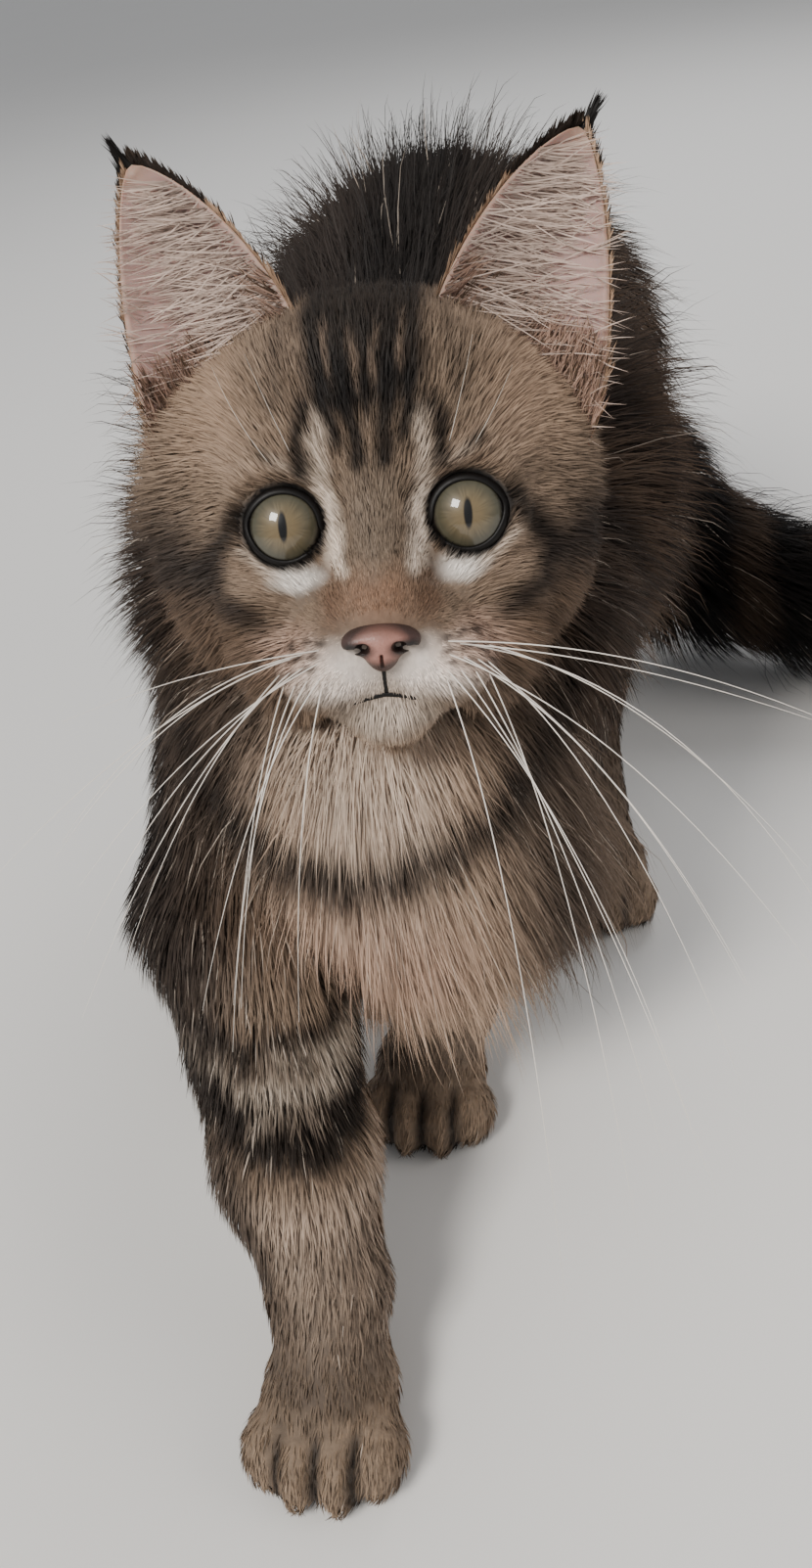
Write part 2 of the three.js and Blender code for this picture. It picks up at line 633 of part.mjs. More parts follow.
// Colours of the coat, skin and eyes
const COLOURS = {
  dark: [0.13, 0.1, 0.085, 0.9],
  brown: [0.3, 0.23, 0.18, 0.9],
  buff: [0.55, 0.44, 0.35, 0.9],
  ear: [0.6, 0.45, 0.4, 0.8],
  nose: [0.5, 0.27, 0.22, 0.5],
  eye: [0.35, 0.32, 0.2, 0.1],
};
const COLOUR_OF = (name) => {
  if (name.startsWith("eye")) return "eye";
  if (name.startsWith("ear")) return "ear";
  if (name.startsWith("tail")) return "dark";
  if (name === "nose") return "nose";
  return ["torso", "thigh_left", "thigh_right"].includes(name) ? "brown" : "buff";
};

// A mesh in its group, with its geometry in the group's own frame
function place(name, whole) {
  const group = /^(head|ear|eye|nose)/.test(name) ? head : body;
  const mesh = whole.getMesh();
  const positions = new Float32Array(mesh.numVert * 3);
  for (let i = 0; i < mesh.numVert; i++) {
    positions.set(mesh.vertProperties.subarray(i * mesh.numProp, i * mesh.numProp + 3), i * 3);
  }
  const geometry = new THREE.BufferGeometry();
  geometry.setAttribute("position", new THREE.BufferAttribute(positions, 3));
  geometry.setIndex(new THREE.BufferAttribute(mesh.triVerts, 1));
  geometry.applyMatrix4(group.matrixWorld.clone().invert());
  geometry.computeVertexNormals();
  const [r, g, b, roughness] = COLOURS[COLOUR_OF(name)];
  const material = new THREE.MeshStandardMaterial({ color: new THREE.Color(r, g, b), roughness, metalness: 0 });
  const shown = new THREE.Mesh(geometry, material);
  shown.name = name;
  group.add(shown);
}
for (const [name, whole] of made) place(name, whole);

// The part's origin is on the floor, under the middle of its box
const box = new THREE.Box3().setFromObject(root, true);
root.position.set(-(box.min.x + box.max.x) / 2, -(box.min.y + box.max.y) / 2, -box.min.z);

export default root;
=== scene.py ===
import math

import bmesh
import bpy
import numpy as np
from mathutils import Matrix, Vector


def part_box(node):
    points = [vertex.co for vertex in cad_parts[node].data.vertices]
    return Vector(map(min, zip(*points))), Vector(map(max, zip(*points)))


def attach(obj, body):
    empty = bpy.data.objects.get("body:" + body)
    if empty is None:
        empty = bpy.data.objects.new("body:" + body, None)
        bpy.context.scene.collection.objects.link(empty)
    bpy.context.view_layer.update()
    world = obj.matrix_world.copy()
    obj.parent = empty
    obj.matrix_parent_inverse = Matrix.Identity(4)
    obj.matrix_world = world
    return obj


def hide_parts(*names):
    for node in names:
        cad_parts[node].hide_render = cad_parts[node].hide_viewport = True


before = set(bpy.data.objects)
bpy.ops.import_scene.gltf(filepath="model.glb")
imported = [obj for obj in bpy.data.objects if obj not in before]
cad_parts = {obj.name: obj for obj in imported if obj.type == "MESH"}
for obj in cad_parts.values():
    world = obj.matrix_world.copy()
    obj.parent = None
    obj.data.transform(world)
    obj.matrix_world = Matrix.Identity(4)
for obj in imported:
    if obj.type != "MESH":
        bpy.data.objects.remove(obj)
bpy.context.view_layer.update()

bl_info = {
    "name": "Long-haired kitten",
    "version": (1, 0, 0),
    "blender": (4, 5, 0),
    "location": "3D View > Sidebar > Kitten",
    "description": "Makes a life-size, long-haired tabby kitten with its skin, coat, eyes, ears and whiskers",
    "category": "Add Mesh",
}

# Everything below is in millimetres in the walk's own frame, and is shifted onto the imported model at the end
MM = 0.001

# Places and sizes of the body, head, eyes and ears
BODY_START = (-34.0, 0.0, 0.0)
BODY_YAW = -14.0
EYE_MIDDLE = (2.4, 91.7, 170.5)
HEAD_PITCH, HEAD_YAW, HEAD_ROLL = 22.0, 3.6, 3.5
EYE_AT = (17.0, 0.0, -7.4)
EYE_RADIUS = 9.3
LID_THICKNESS = 1.3
LID_OPENING = 7.3
EAR_INNER, EAR_OUTER, EAR_TIP = (13.0, 36.0, -25.0), (44.0, 15.0, -29.0), (44.5, 70.0, -34.0)
EAR_CUP = 13.0
EAR_SINK = 5.0
SIDES = ((1, "left"), (-1, "right"))

# The skin's grid: coarse steps over the body, fine ones round the head
GRID_COARSE, GRID_FINE = 2.3, 1.0
FIELD_REACH, FAR = 16, 30.0
LEG_JOIN, BODY_JOIN = 3, 7
FLOOR_GAP = 0.05

# The photo's view: how far the camera looks down and leans, where it is, and its focal length
# against the picture's height
CAMERA_DOWN, CAMERA_ROLL = 36, 9.4
CAMERA_AT = (0, -126.3, 268.5)
FOCAL_LENGTH, PICTURE_HEIGHT, SENSOR = 1300, 1602, 36

FLOOR_SIZE = 6.0
SKY_COLOUR, SKY_STRENGTH = (0.92, 0.95, 1.0, 1), 0.45
LAMPS = [  # name, place, width, power, colour
    ("key", (-0.75, -0.85, 1.15), 0.45, 23.0, (1.0, 0.97, 0.93)),
    ("fill", (1.1, -0.5, 0.7), 0.9, 7.0, (1.0, 0.96, 0.92)),
    ("back", (0.5, 1.1, 1.2), 0.8, 12.0, (0.95, 0.97, 1.0)),
]

# How the hairs of one place differ
LENGTH_RANGE, WIDTH_RANGE, SHADE_RANGE = (0.75, 1.1), (0.7, 1.2), (0.84, 1.16)
STRAY_SHARE, STRAY_EXTRA, CREST_EXTRA = 0.1, 0.24, 0.45
GUARD_SHARE, FRONT_GUARD_SHARE, DARK_TIP_SHARE = 0.006, 0.03, 0.16
ROOT_DEPTH = 0.4
ROOT_SHADE = 0.6

# A hair's patch on the flat map: half its width, and how far it lies from its root's place
PATCH_HALF, PATCH_SCATTER = 0.0015, 0.0003

WHISKERS, BROW_WHISKERS = 13, 2


class Frame:
    """A place and three axes; local points are rows."""

    def __init__(self, start, axes):
        self.start = np.array(start, float)
        self.axes = np.array(axes, float)

    def local(self, points):
        return (points - self.start) @ self.axes.T

    def world(self, points):
        return np.asarray(points, float) @ self.axes + self.start

    def turn(self, ways):
        return np.asarray(ways, float) @ self.axes


def body_frame():
    c, s = math.cos(math.radians(BODY_YAW)), math.sin(math.radians(BODY_YAW))
    return Frame(BODY_START, [(c, s, 0), (-s, c, 0), (0, 0, 1)])


def head_frame():
    yaw, pitch, roll = (math.radians(v) for v in (HEAD_YAW, HEAD_PITCH, HEAD_ROLL))
    out = np.array([-math.sin(yaw) * math.cos(pitch), -math.cos(yaw) * math.cos(pitch), math.sin(pitch)])
    up = np.array([math.sin(yaw) * math.sin(pitch), math.cos(yaw) * math.sin(pitch), math.cos(pitch)])
    tilted = up * math.cos(roll) + np.cross(up, out) * math.sin(roll)
    return Frame(EYE_MIDDLE, [np.cross(tilted, out), tilted, out])


BODY = body_frame()
HEAD = head_frame()


def eye_at(side):
    return np.array([side * EYE_AT[0], EYE_AT[1], EYE_AT[2]])


def find_shift():
    """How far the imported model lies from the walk's frame, read from its two eyes."""
    middles = [sum(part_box("eye_" + side), Vector()) / 2 for side in ("left", "right")]
    eyes = np.array(sum(middles, Vector()) / 2) / MM
    return eyes - HEAD.world([(0, 0, EYE_AT[2])])[0]


SHIFT = find_shift()


def ball(home, at, radii):
    at, radii = np.array(at, float), np.array(radii, float)

    def distance(points):
        d = home.local(points) - at
        near = np.sqrt(((d / radii) ** 2).sum(-1))
        far = np.sqrt(((d / radii**2) ** 2).sum(-1)) + 1e-9
        return near * (near - 1) / far

    centre = home.world([at])[0]
    return distance, centre - radii.max(), centre + radii.max()


def limb(home, a, b, ra, rb):
    a, b = home.world([a, b])
    along = b - a

    def distance(points):
        h = np.clip(((points - a) @ along) / (along @ along), 0, 1)
        return np.linalg.norm(points - a - h[..., None] * along, axis=-1) - ra - (rb - ra) * h

    reach = max(ra, rb)
    return distance, np.minimum(a, b) - reach, np.maximum(a, b) + reach


def blend(d, e, soft):
    """The union of two fields, rounded where they meet."""
    h = np.maximum(soft - np.abs(d - e), 0) / soft
    return np.minimum(d, e) - h * h * soft / 4


def chain(joints, radii, home=BODY):
    return [limb(home, joints[i], joints[i + 1], radii[i], radii[i + 1]) for i in range(len(joints) - 1)]


TOES = [(-11.6, -8), (-4.3, -11.6), (4.3, -11.6), (11.6, -8)]
TOE_RADII = (5.6, 8.6, 7.9)
SOLE_PRESS = 0.9


def paw(x, y, heel, heel_radius):
    """The masses of a paw: its palm, the part up to the heel, and its toes."""
    palm = (x, y + 3, 11)
    masses = [ball(BODY, palm, (14.2, 13.5, 11.9)), limb(BODY, palm, heel, 11, heel_radius)]
    for spread, forward in TOES:
        masses.append(ball(BODY, (x + spread, y + forward, TOE_RADII[2] - SOLE_PRESS), TOE_RADII))
    return masses


def both(at, radii):
    return [ball(HEAD, at, radii), ball(HEAD, (-at[0], at[1], at[2]), radii)]


TAIL_LINE = [(0, 334, 142), (21, 353, 112), (50, 344, 68), (78, 324, 42), (116, 313, 33), (152, 306, 31)]
TAIL_RADII = [13, 15.6, 17, 16, 12.5, 7]
LEG_LINES = {
    "foreleg_right": [(-24, 146, 112), (-32, 97, 76), (-17, 54, 41), (-9, 35, 23)],
    "foreleg_left": [(24, 146, 112), (23, 160, 76), (12, 134, 44), (7, 118, 25)],
    "thigh_left": [(22, 292, 134), (37, 240, 100)],
    "thigh_right": [(-22, 292, 134), (-27, 272, 88)],
    "shank_left": [(38, 236, 96), (39, 226, 40)],
    "shank_right": [(-28, 276, 84), (-28, 318, 42)],
}
PAW_PLACES = {
    "forepaw_right": (-6.8, 15.5),
    "forepaw_left": (3, 103),
    "hindpaw_left": (45, 184),
    "hindpaw_right": (-26, 284),
}


def leg(name, radii):
    return chain(LEG_LINES[name], radii), 8


def foot(name, heel, heel_radius):
    return paw(*PAW_PLACES[name], heel, heel_radius), 2.6


# Each part of the animal: its masses, and how softly they join
PARTS = {
    "head": (
        [
            ball(HEAD, (0, 7, -32), (38, 32, 34)),
            ball(HEAD, (0, 15, -15), (27, 19, 14)),
            *both((15.5, 8.5, -11), (12, 7.5, 8)),
            *both((20.5, -8, -25), (18.5, 17.5, 17.5)),
            *both((16, -13, -9.5), (12.5, 9, 9)),
            *both((11, -24, -12), (13, 10.5, 14)),
            *both((9.2, -26, 6.6), (10, 7, 9)),
            ball(HEAD, (0, -33.2, 1.5), (9, 6, 9)),
            ball(HEAD, (0, -20, 1), (14, 10, 14)),
            limb(HEAD, (0, 4, -6.4), (0, -17.2, 10.6), 8.6, 6.2),
        ],
        5,
    ),
    "neck": (
        [limb(BODY, (9, 140, 146), (3, 140, 120), 29, 35), ball(BODY, (2, 128, 112), (31, 30, 26))],
        12,
    ),
    "torso": (
        [
            ball(BODY, (0, 126, 96), (35, 35, 37)),
            ball(BODY, (0, 158, 120), (43, 42, 44)),
            ball(BODY, (0, 205, 122), (47, 56, 47)),
            ball(BODY, (0, 250, 118), (46, 48, 42)),
            ball(BODY, (0, 258, 140), (36, 50, 37)),
            ball(BODY, (0, 292, 140), (44, 42, 41)),
            ball(BODY, (0, 314, 132), (32, 29, 34)),
        ],
        14,
    ),
    "foreleg_right": leg("foreleg_right", [27, 20, 15, 12.6]),
    "foreleg_left": leg("foreleg_left", [27, 19, 14.5, 12.4]),
    "forepaw_right": foot("forepaw_right", (-8.4, 34, 22.5), 12.8),
    "forepaw_left": foot("forepaw_left", (6.6, 117, 24), 12.5),
    "thigh_left": leg("thigh_left", [35, 25]),
    "thigh_right": leg("thigh_right", [35, 26]),
    "shank_left": leg("shank_left", [22, 11.5]),
    "shank_right": leg("shank_right", [22, 11.5]),
    "hindpaw_left": foot("hindpaw_left", (39, 226, 38), 10.5),
    "hindpaw_right": foot("hindpaw_right", (-28, 318, 40), 10.5),
    "tail": (chain(TAIL_LINE, TAIL_RADII), 8),
}
PART_NAMES = list(PARTS)


def kind_of(name):
    return name.split("_")[0]


def part_numbers(*starts):
    return [i for i, name in enumerate(PART_NAMES) if name.startswith(starts)]


def part_distance(name, points):
    masses, soft = PARTS[name]
    d = masses[0][0](points)
    for distance, _, _ in masses[1:]:
        d = blend(d, distance(points), soft)
    return d


# The skin: the field is sampled on a grid that is finer round the face, and its zero level is meshed
def axis_steps(low, high, fine_low, fine_high):
    before = np.arange(low, fine_low, GRID_COARSE)
    middle = np.arange(fine_low, fine_high, GRID_FINE)
    after = np.arange(fine_high, high, GRID_COARSE)
    return np.concatenate([before, middle, after])


def skin_field():
    xs = axis_steps(-84, 186, -44, 52)
    ys = axis_steps(-8, 368, 56, 128)
    zs = axis_steps(-3.2, 206, 128, 198)
    field = np.full((len(xs), len(ys), len(zs)), FAR, np.float32)
    for name, (masses, _) in PARTS.items():
        low = np.min([m[1] for m in masses], 0) - FIELD_REACH
        high = np.max([m[2] for m in masses], 0) + FIELD_REACH
        spans = [slice(*np.searchsorted(a, (lo, hi))) for a, lo, hi in zip((xs, ys, zs), low, high)]
        x, y, z = np.meshgrid(xs[spans[0]], ys[spans[1]], zs[spans[2]], indexing="ij")
        points = np.stack([x, y, z], -1)
        own = part_distance(name, points)
        if name == "head":
            own = carve_eyes(own, points)
        soft_join = LEG_JOIN if name.startswith(("fore", "hind")) else BODY_JOIN
        field[tuple(spans)] = blend(field[tuple(spans)], own, soft_join)
    field = np.maximum(field, FLOOR_GAP - zs[None, None, :])
    return field, (xs, ys, zs)


def carve_eyes(field, points):
    """Adds the lids round each eyeball and opens them to the front."""
    local = HEAD.local(points)
    angle = math.asin(LID_OPENING / EYE_RADIUS)
    for side in (1, -1):
        q = local - eye_at(side)
        away = np.linalg.norm(q, axis=-1)
        field = blend(field, away - EYE_RADIUS - LID_THICKNESS, 2.5)
        cone = np.hypot(q[..., 0], q[..., 1]) * math.cos(angle) - q[..., 2] * math.sin(angle)
        field = np.maximum(field, np.where(away < EYE_RADIUS + 7, -cone, -FAR))
    return field


def mesh_field(field, axes):
    """A closed mesh of quads at the field's zero level, with one point in each cell that it crosses."""
    inside = field < 0
    size = [n - 1 for n in inside.shape]
    corners = [(i, j, k) for i in (0, 1) for j in (0, 1) for k in (0, 1)]
    blocks = [tuple(slice(n, n + length) for n, length in zip(corner, size)) for corner in corners]
    counts = sum(inside[block].astype(np.int8) for block in blocks)
    cells = np.argwhere((counts > 0) & (counts < len(corners)))
    total = np.zeros((len(cells), 3))
    crossings = np.zeros(len(cells))
    for a in corners:
        for axis in range(3):
            if a[axis]:
                continue
            b = tuple(1 if n == axis else a[n] for n in range(3))
            ca, cb = cells + a, cells + b
            fa, fb = field[tuple(ca.T)], field[tuple(cb.T)]
            hit = (fa < 0) != (fb < 0)
            t = np.where(hit, fa / np.where(hit, fa - fb, 1), 0)
            for n in range(3):
                pa, pb = axes[n][ca[:, n]], axes[n][cb[:, n]]
                total[:, n] += np.where(hit, pa + t * (pb - pa), 0)
            crossings += hit
    points = total / crossings[:, None]
    number = np.full(counts.shape, -1, np.int32)
    number[tuple(cells.T)] = np.arange(len(cells))
    quads = []
    for axis in range(3):
        first = [slice(None)] * 3
        second = [slice(None)] * 3
        first[axis], second[axis] = slice(0, -1), slice(1, None)
        edges = np.argwhere(inside[tuple(first)] != inside[tuple(second)])
        u, v = (axis + 1) % 3, (axis + 2) % 3
        edges = edges[(edges[:, u] > 0) & (edges[:, v] > 0)]
        edges = edges[(edges[:, u] < counts.shape[u]) & (edges[:, v] < counts.shape[v])]
        ring = []
        for du, dv in ((0, 0), (-1, 0), (-1, -1), (0, -1)):
            cell = edges.copy()
            cell[:, u] += du
            cell[:, v] += dv
            ring.append(number[tuple(cell.T)])
        quad = np.stack(ring, 1)
        leaving = inside[tuple(edges.T)]
        quad[~leaving] = quad[~leaving][:, ::-1]
        quads.append(quad)
    return points, np.concatenate(quads)


def point_normals(points, quads):
    n = np.cross(points[quads[:, 2]] - points[quads[:, 0]], points[quads[:, 3]] - points[quads[:, 1]])
    out = np.zeros_like(points)
    for corner in range(4):
        for k in range(3):
            out[:, k] += np.bincount(quads[:, corner], n[:, k], len(points))
    return unit(out)


def unit(v):
    return v / np.maximum(np.linalg.norm(v, axis=-1, keepdims=True), 1e-9)


# Colours are given as they look, from 0 to 255, and turned into light values
def light(r, g, b):
    c = np.array([r, g, b]) / 255
    return np.where(c <= 0.04045, c / 12.92, ((c + 0.055) / 1.055) ** 2.4)


BLACK = light(17, 13, 11)
DARK = light(43, 35, 30)
BROWN = light(104, 84, 68)
TICKED = light(126, 107, 90)
BUFF = light(178, 152, 130)
SAND = light(200, 166, 138)
CREAM = light(228, 210, 192)
WHITE = light(244, 236, 226)
RUST = light(138, 101, 77)


# The markings' numbers are places, widths and softness in millimetres, in the head's or the body's own frame
def wobble(points, size, seed=0):
    """A smooth, repeatable unevenness from -1 to 1 with features about size across."""
    rng = np.random.default_rng(seed)
    total = 0
    for i in range(5):
        way = rng.normal(size=3)
        way *= (2 * math.pi / size) * (0.6 + 0.25 * i) / np.linalg.norm(way)
        total = total + np.sin(points @ way + rng.uniform(0, 6.28))
    return total / 3.2


def inside_edge(distance, softness):
    """1 well inside an edge, 0 well outside it, and a ramp as wide as the softness between."""
    return np.clip(0.5 - distance / softness, 0, 1)


def below(value, edge, softness):
    """1 where the value lies well below an edge, and 0 well above it."""
    return inside_edge(value - edge, softness)


def above(value, edge, softness):
    """1 where the value lies well above an edge, and 0 well below it."""
    return inside_edge(-(value - edge), softness)


def ground(points, colour, uneven):
    """A part's first colour, made a little lighter or darker from place to place."""
    return np.tile(colour, (len(points), 1)) * (1 + uneven)[:, None]


def paint(colour, over, mask):
    return colour + (over - colour) * mask[:, None]


def oval(x, y, cx, cy, rx, ry, soft):
    return inside_edge((np.hypot((x - cx) / rx, (y - cy) / ry) - 1) * min(rx, ry), soft)


def stroke(x, y, line, width, soft):
    """A line of some width through a few points."""
    best = np.full(len(x), 1e3)
    for (ax, ay), (bx, by) in zip(line[:-1], line[1:]):
        dx, dy = bx - ax, by - ay
        h = np.clip(((x - ax) * dx + (y - ay) * dy) / (dx * dx + dy * dy), 0, 1)
        best = np.minimum(best, np.hypot(x - ax - h * dx, y - ay - h * dy))
    return inside_edge(best - width / 2, soft)


# What is painted on each half of the face, in order: colour, shape and its size, softness, strength, mask.
# An oval's size is its middle and its radii, and a stroke's is its line and its width.
FACE_GROUND = [
    (BUFF, oval, (21, 13, 9, 5), 7, 0.4, "front"),
    (BUFF, oval, (27, -5, 9, 7), 6, 0.25, "front"),
    (SAND, oval, (33, 24, 10, 12), 9, 0.3, "all"),
]
FACE_LIGHTS = [
    (BROWN, oval, (24, -22, 12, 6), 7, 0.5, "all"),
    (RUST, oval, (0, -13, 7.5, 5.5), 6, 0.62, "front"),
    (RUST * 0.5, oval, (9, -14, 2.4, 4.5), 3, 0.6, "front"),
    (light(112, 98, 84), oval, (0, 1, 6, 9), 5, 0.75, "front"),
    (CREAM, stroke, ([(9.4, 5), (8.2, 0), (7.4, -7)], 3.6), 2.4, 1, "front"),
    (CREAM, stroke, ([(9.2, 6), (9.6, 14), (8.6, 18)], 2.6), 2.4, 0.6, "front"),
    (CREAM, stroke, ([(12, 9.5), (19, 12)], 1.6), 2.2, 0.45, "front"),
    (WHITE, oval, (15.4, -9.6, 4.2, 2.4), 2.6, 1, "front"),
    (CREAM, stroke, ([(20, -9), (25, -4)], 1.6), 2.4, 0.7, "front"),
    (light(236, 222, 210), oval, (8.5, -26, 8.5, 5), 5, 1, "pads"),
    (light(206, 172, 152), oval, (17, -23, 6, 4), 5, 0.7, "lips"),
    (light(204, 188, 172), oval, (0, -34.5, 8, 5), 5, 0.85, "front"),
    # Painted shade along the mouth's crease, just under the lip line
    (TICKED, stroke, ([(0, -30.5), (6, -32), (12, -32.5)], 1.4), 2, 0.5, "front"),
]
FACE_LINES = [
    (BLACK, stroke, ([(25.5, 2.4), (30, -2.5), (34, -8)], 5.4), 3.4, 0.9, "all"),
    (DARK, stroke, ([(34, -8), (31, -14), (24, -17.5)], 4.4), 3.4, 0.9, "all"),
    (DARK, stroke, ([(33, -6), (42, -7), (50, -12)], 4.4), 4, 0.7, "all"),
    (BLACK, stroke, ([(12.6, 10), (13, 15), (11.5, 21)], 3.2), 1.8, 0.9, "all"),
    (BLACK, oval, (20, 12.6, 2, 1.2), 1.6, 0.8, "all"),
    (BLACK, stroke, ([(2.4, 10.5), (3.4, 19), (5, 28)], 3.2), 1.8, 0.9, "all"),
    (BLACK, stroke, ([(6.2, 14), (8.2, 25)], 2.4), 1.6, 0.9, "all"),
    (BLACK, stroke, ([(0, 18), (0, 24)], 1.6), 1.6, 0.9, "all"),
]
WHISKER_ROWS = (-20.2, -22.6, -25)


def paint_shapes(colour, x, y, rows, masks):
    for over, shape, size, soft, strength, mask in rows:
        colour = paint(colour, over, shape(x, y, *size, soft) * strength * masks[mask])
    return colour


def head_markings(points):
    local = HEAD.local(points)
    uneven = wobble(points, 9, 3)
    x, y, z = np.abs(local[:, 0]) + 0.7 * uneven, local[:, 1] + 0.7 * wobble(points, 8, 4), local[:, 2]
    front = above(z, -26, 10)
    masks = {"front": front, "all": 1, "pads": above(z, -4, 8), "lips": above(z, -8, 8)}
    ticking = 0.1 * uneven + 0.14 * wobble(points, 2.6, 17)
    colour = ground(points, TICKED, ticking)
    colour = paint(colour, DARK, below(z, -50, 20) * 0.8)
    colour = paint_shapes(colour, x, y, FACE_GROUND, masks)
    # The dark sides and underside of the cheeks
    colour = paint(colour, DARK, inside_edge(-(x - 33.5 - 0.35 * (y + 8)), 9) * below(y, 4, 14) * 0.9)
    colour = paint(colour, BROWN, inside_edge(y + 26 - 0.3 * x, 9) * above(x, 17, 8) * 0.7)
    colour = paint_shapes(colour, x, y, FACE_LIGHTS, masks)
    colour = paint(colour, BUFF, below(y, -40, 6) * below(x, 18, 8) * 0.7)
    for row, level in enumerate(WHISKER_ROWS):
        for k in range(3):
            spot = oval(x, y, 11 + 3.2 * k + row, level - 0.6 * k, 1.1, 0.7, 0.8)
            colour = paint(colour, DARK, spot * 0.85 * front)
    colour = paint_shapes(colour, x, y, FACE_LINES, masks)
    ragged = 2.4 * wobble(points, 6, 14)
    crown = inside_edge(-(y - 19.5 - ragged), 5) * inside_edge(x - 11 - 0.1 * (y - 25), 4)
    colour = paint(colour, BLACK, crown * 0.93)
    pale = stroke(x, y, [(1.6, 24), (2.2, 33)], 1.1, 1) + stroke(x, y, [(6.6, 27), (7, 35)], 1, 1)
    colour = paint(colour, BUFF, np.clip(pale, 0, 1) * 0.3)
    colour = paint(colour, DARK, stroke(x, y, [(17, 22), (16, 32), (14, 60)], 2.6, 3) * 0.5)
    rim = np.full(len(points), 1e3)
    for side in (1, -1):
        q = local - eye_at(side)
        rim = np.minimum(rim, np.hypot(q[:, 0], q[:, 1]) + np.where(q[:, 2] < 2, 30, 0))
    return paint(colour, BLACK, below(rim - LID_OPENING, 0.9, 0.8))


def torso_markings(points):
    x, y, z = BODY.local(points).T
    uneven = wobble(points, 26, 8)
    colour = ground(points, DARK, 0.12 * uneven)
    bars = np.sin((y + 0.25 * (z - 110) + 6 * uneven) * 2 * math.pi / 30)
    flank = below(z, 156, 26) * above(y, 140, 30)
    colour = paint(colour, BROWN, above(bars, -0.1, 0.9) * flank * 0.6)
    colour = paint(colour, TICKED, below(z, 86, 26) * 0.55)
    colour = paint(colour, BLACK, below(np.abs(x), 13, 10) * above(z, 150, 12) * 0.75)
    chest = inside_edge(y - 128 + 0.3 * np.abs(x), 26)
    colour = paint(colour, BUFF, chest * 0.92)
    colour = paint(colour, DARK * 1.15, chest * above(np.abs(x - 7), 27, 14) * 0.9)
    colour = paint(colour, light(182, 150, 129), chest * oval(x, z, 0, 74, 24, 20, 18) * 0.8)
    colour = paint(colour, CREAM, chest * oval(x, z, 2, 124, 20, 12, 12) * 0.45)
    return paint(colour, BLACK * 1.3, necklace(points) * 0.9)


def necklace(points):
    """A dark band that hangs round the throat and rises to both shoulders."""
    x, y, z = BODY.local(points).T
    middle = 99 + 0.012 * (x - 4) ** 2 + 2 * wobble(points, 16, 12)
    front = below(y, 150, 30)
    second = below(np.abs(z - middle - 24), 3, 5) * above(np.abs(x - 4), 17, 10) * 0.8
    return np.maximum(below(np.abs(z - middle), 5.2, 4), second) * front


def neck_markings(points):
    x, y, _ = BODY.local(points).T
    colour = ground(points, BUFF, 0.1 * wobble(points, 14, 6))
    side = np.abs(x - 6)
    throat = below(side, 14, 12) * below(y, 120, 20)
    colour = paint(colour, CREAM, throat * 0.75)
    colour = paint(colour, DARK, above(side, 23, 12) * 0.85)
    back = above(y, 140, 26)
    colour = paint(colour, BROWN, above(y, 122, 26))
    colour = paint(colour, DARK, back * 0.9)
    return paint(colour, BLACK * 1.3, necklace(points) * 0.9)


def foreleg_markings(points):
    x, _, z = BODY.local(points).T
    uneven = wobble(points, 12, 9)
    level = z + 2.4 * uneven + 0.12 * x
    colour = ground(points, TICKED * 1.12, 0.1 * uneven)
    colour = paint(colour, light(178, 164, 148), below(np.abs(level - 61), 2.4, 3) * 0.85)
    colour = paint(colour, BLACK, below(np.abs(level - 66.8), 2.4, 3) * 0.92)
    colour = paint(colour, BLACK, below(np.abs(level - 54.8), 3.8, 3) * 0.94)
    colour = paint(colour, light(176, 154, 135), below(level, 46, 5) * 0.85)
    for bar in (36, 27):
        colour = paint(colour, DARK, below(np.abs(level - bar), 1.3, 3.5) * 0.4)
    colour = paint(colour, BROWN, above(z, 80, 12) * 0.75)
    right = x < 0
    outer = np.where(right, -x - 12 - 0.35 * (z - 20), x - 18 - 0.2 * (z - 20))
    colour = paint(colour, DARK, inside_edge(-outer, 9) * above(z, 22, 14) * 0.8)
    return paint(colour, DARK * 1.2, below(x, -26, 12) * above(z, 74, 12) * 0.8)


def paw_markings(points):
    x, y, z = BODY.local(points).T
    colour = ground(points, light(138, 117, 97), 0.16 * wobble(points, 5, 5))
    colour = paint(colour, DARK, inside_edge(-(z - 16.5 - wobble(points, 9, 15)), 5) * 0.6)
    # Painted shade where each paw meets the floor: darker within a few millimetres of it
    colour = paint(colour, DARK, below(z, 3, 3) * 0.7)
    # Painted shade in the clefts between the toes: black lines between them on the front of each paw
    for cx, cy in PAW_PLACES.values():
        for gap in (-7.9, 0, 7.9):
            near = below(np.abs(x - cx - gap), 1.2, 1.8) * below(np.abs(y - cy + 13), 9, 4)
            colour = paint(colour, BLACK, near * below(z, 15, 3) * 0.9)
    return colour


def hindleg_markings(points):
    _, y, z = BODY.local(points).T
    uneven = wobble(points, 14, 10)
    bars = np.sin((z - 0.3 * y + 3 * uneven) * 2 * math.pi / 17)
    colour = ground(points, BROWN, 0.1 * uneven)
    colour = paint(colour, DARK, inside_edge(-bars, 0.8) * 0.85)
    return paint(colour, TICKED, below(z, 30, 14) * 0.3)


def tail_markings(points):
    local = BODY.local(points)
    rings = np.sin(local[:, 0] * 2 * math.pi / 30 + wobble(points, 20, 2))
    return paint(np.tile(BLACK * 1.25, (len(points), 1)), BROWN, above(rings, 0.35, 0.8) * 0.4)


MARKINGS = {
    "head": head_markings,
    "neck": neck_markings,
    "torso": torso_markings,
    "foreleg": foreleg_markings,
    "forepaw": paw_markings,
    "thigh": hindleg_markings,
    "shank": hindleg_markings,
    "hindpaw": paw_markings,
    "tail": tail_markings,
}


def part_shares(points):
    """How much each part of the animal counts at each point, from how near its surface is."""
    near = np.stack([part_distance(name, points) for name in PART_NAMES], 1)
    near -= near.min(1, keepdims=True)
    shares = np.exp(-near / 3.5)
    return shares / shares.sum(1, keepdims=True)


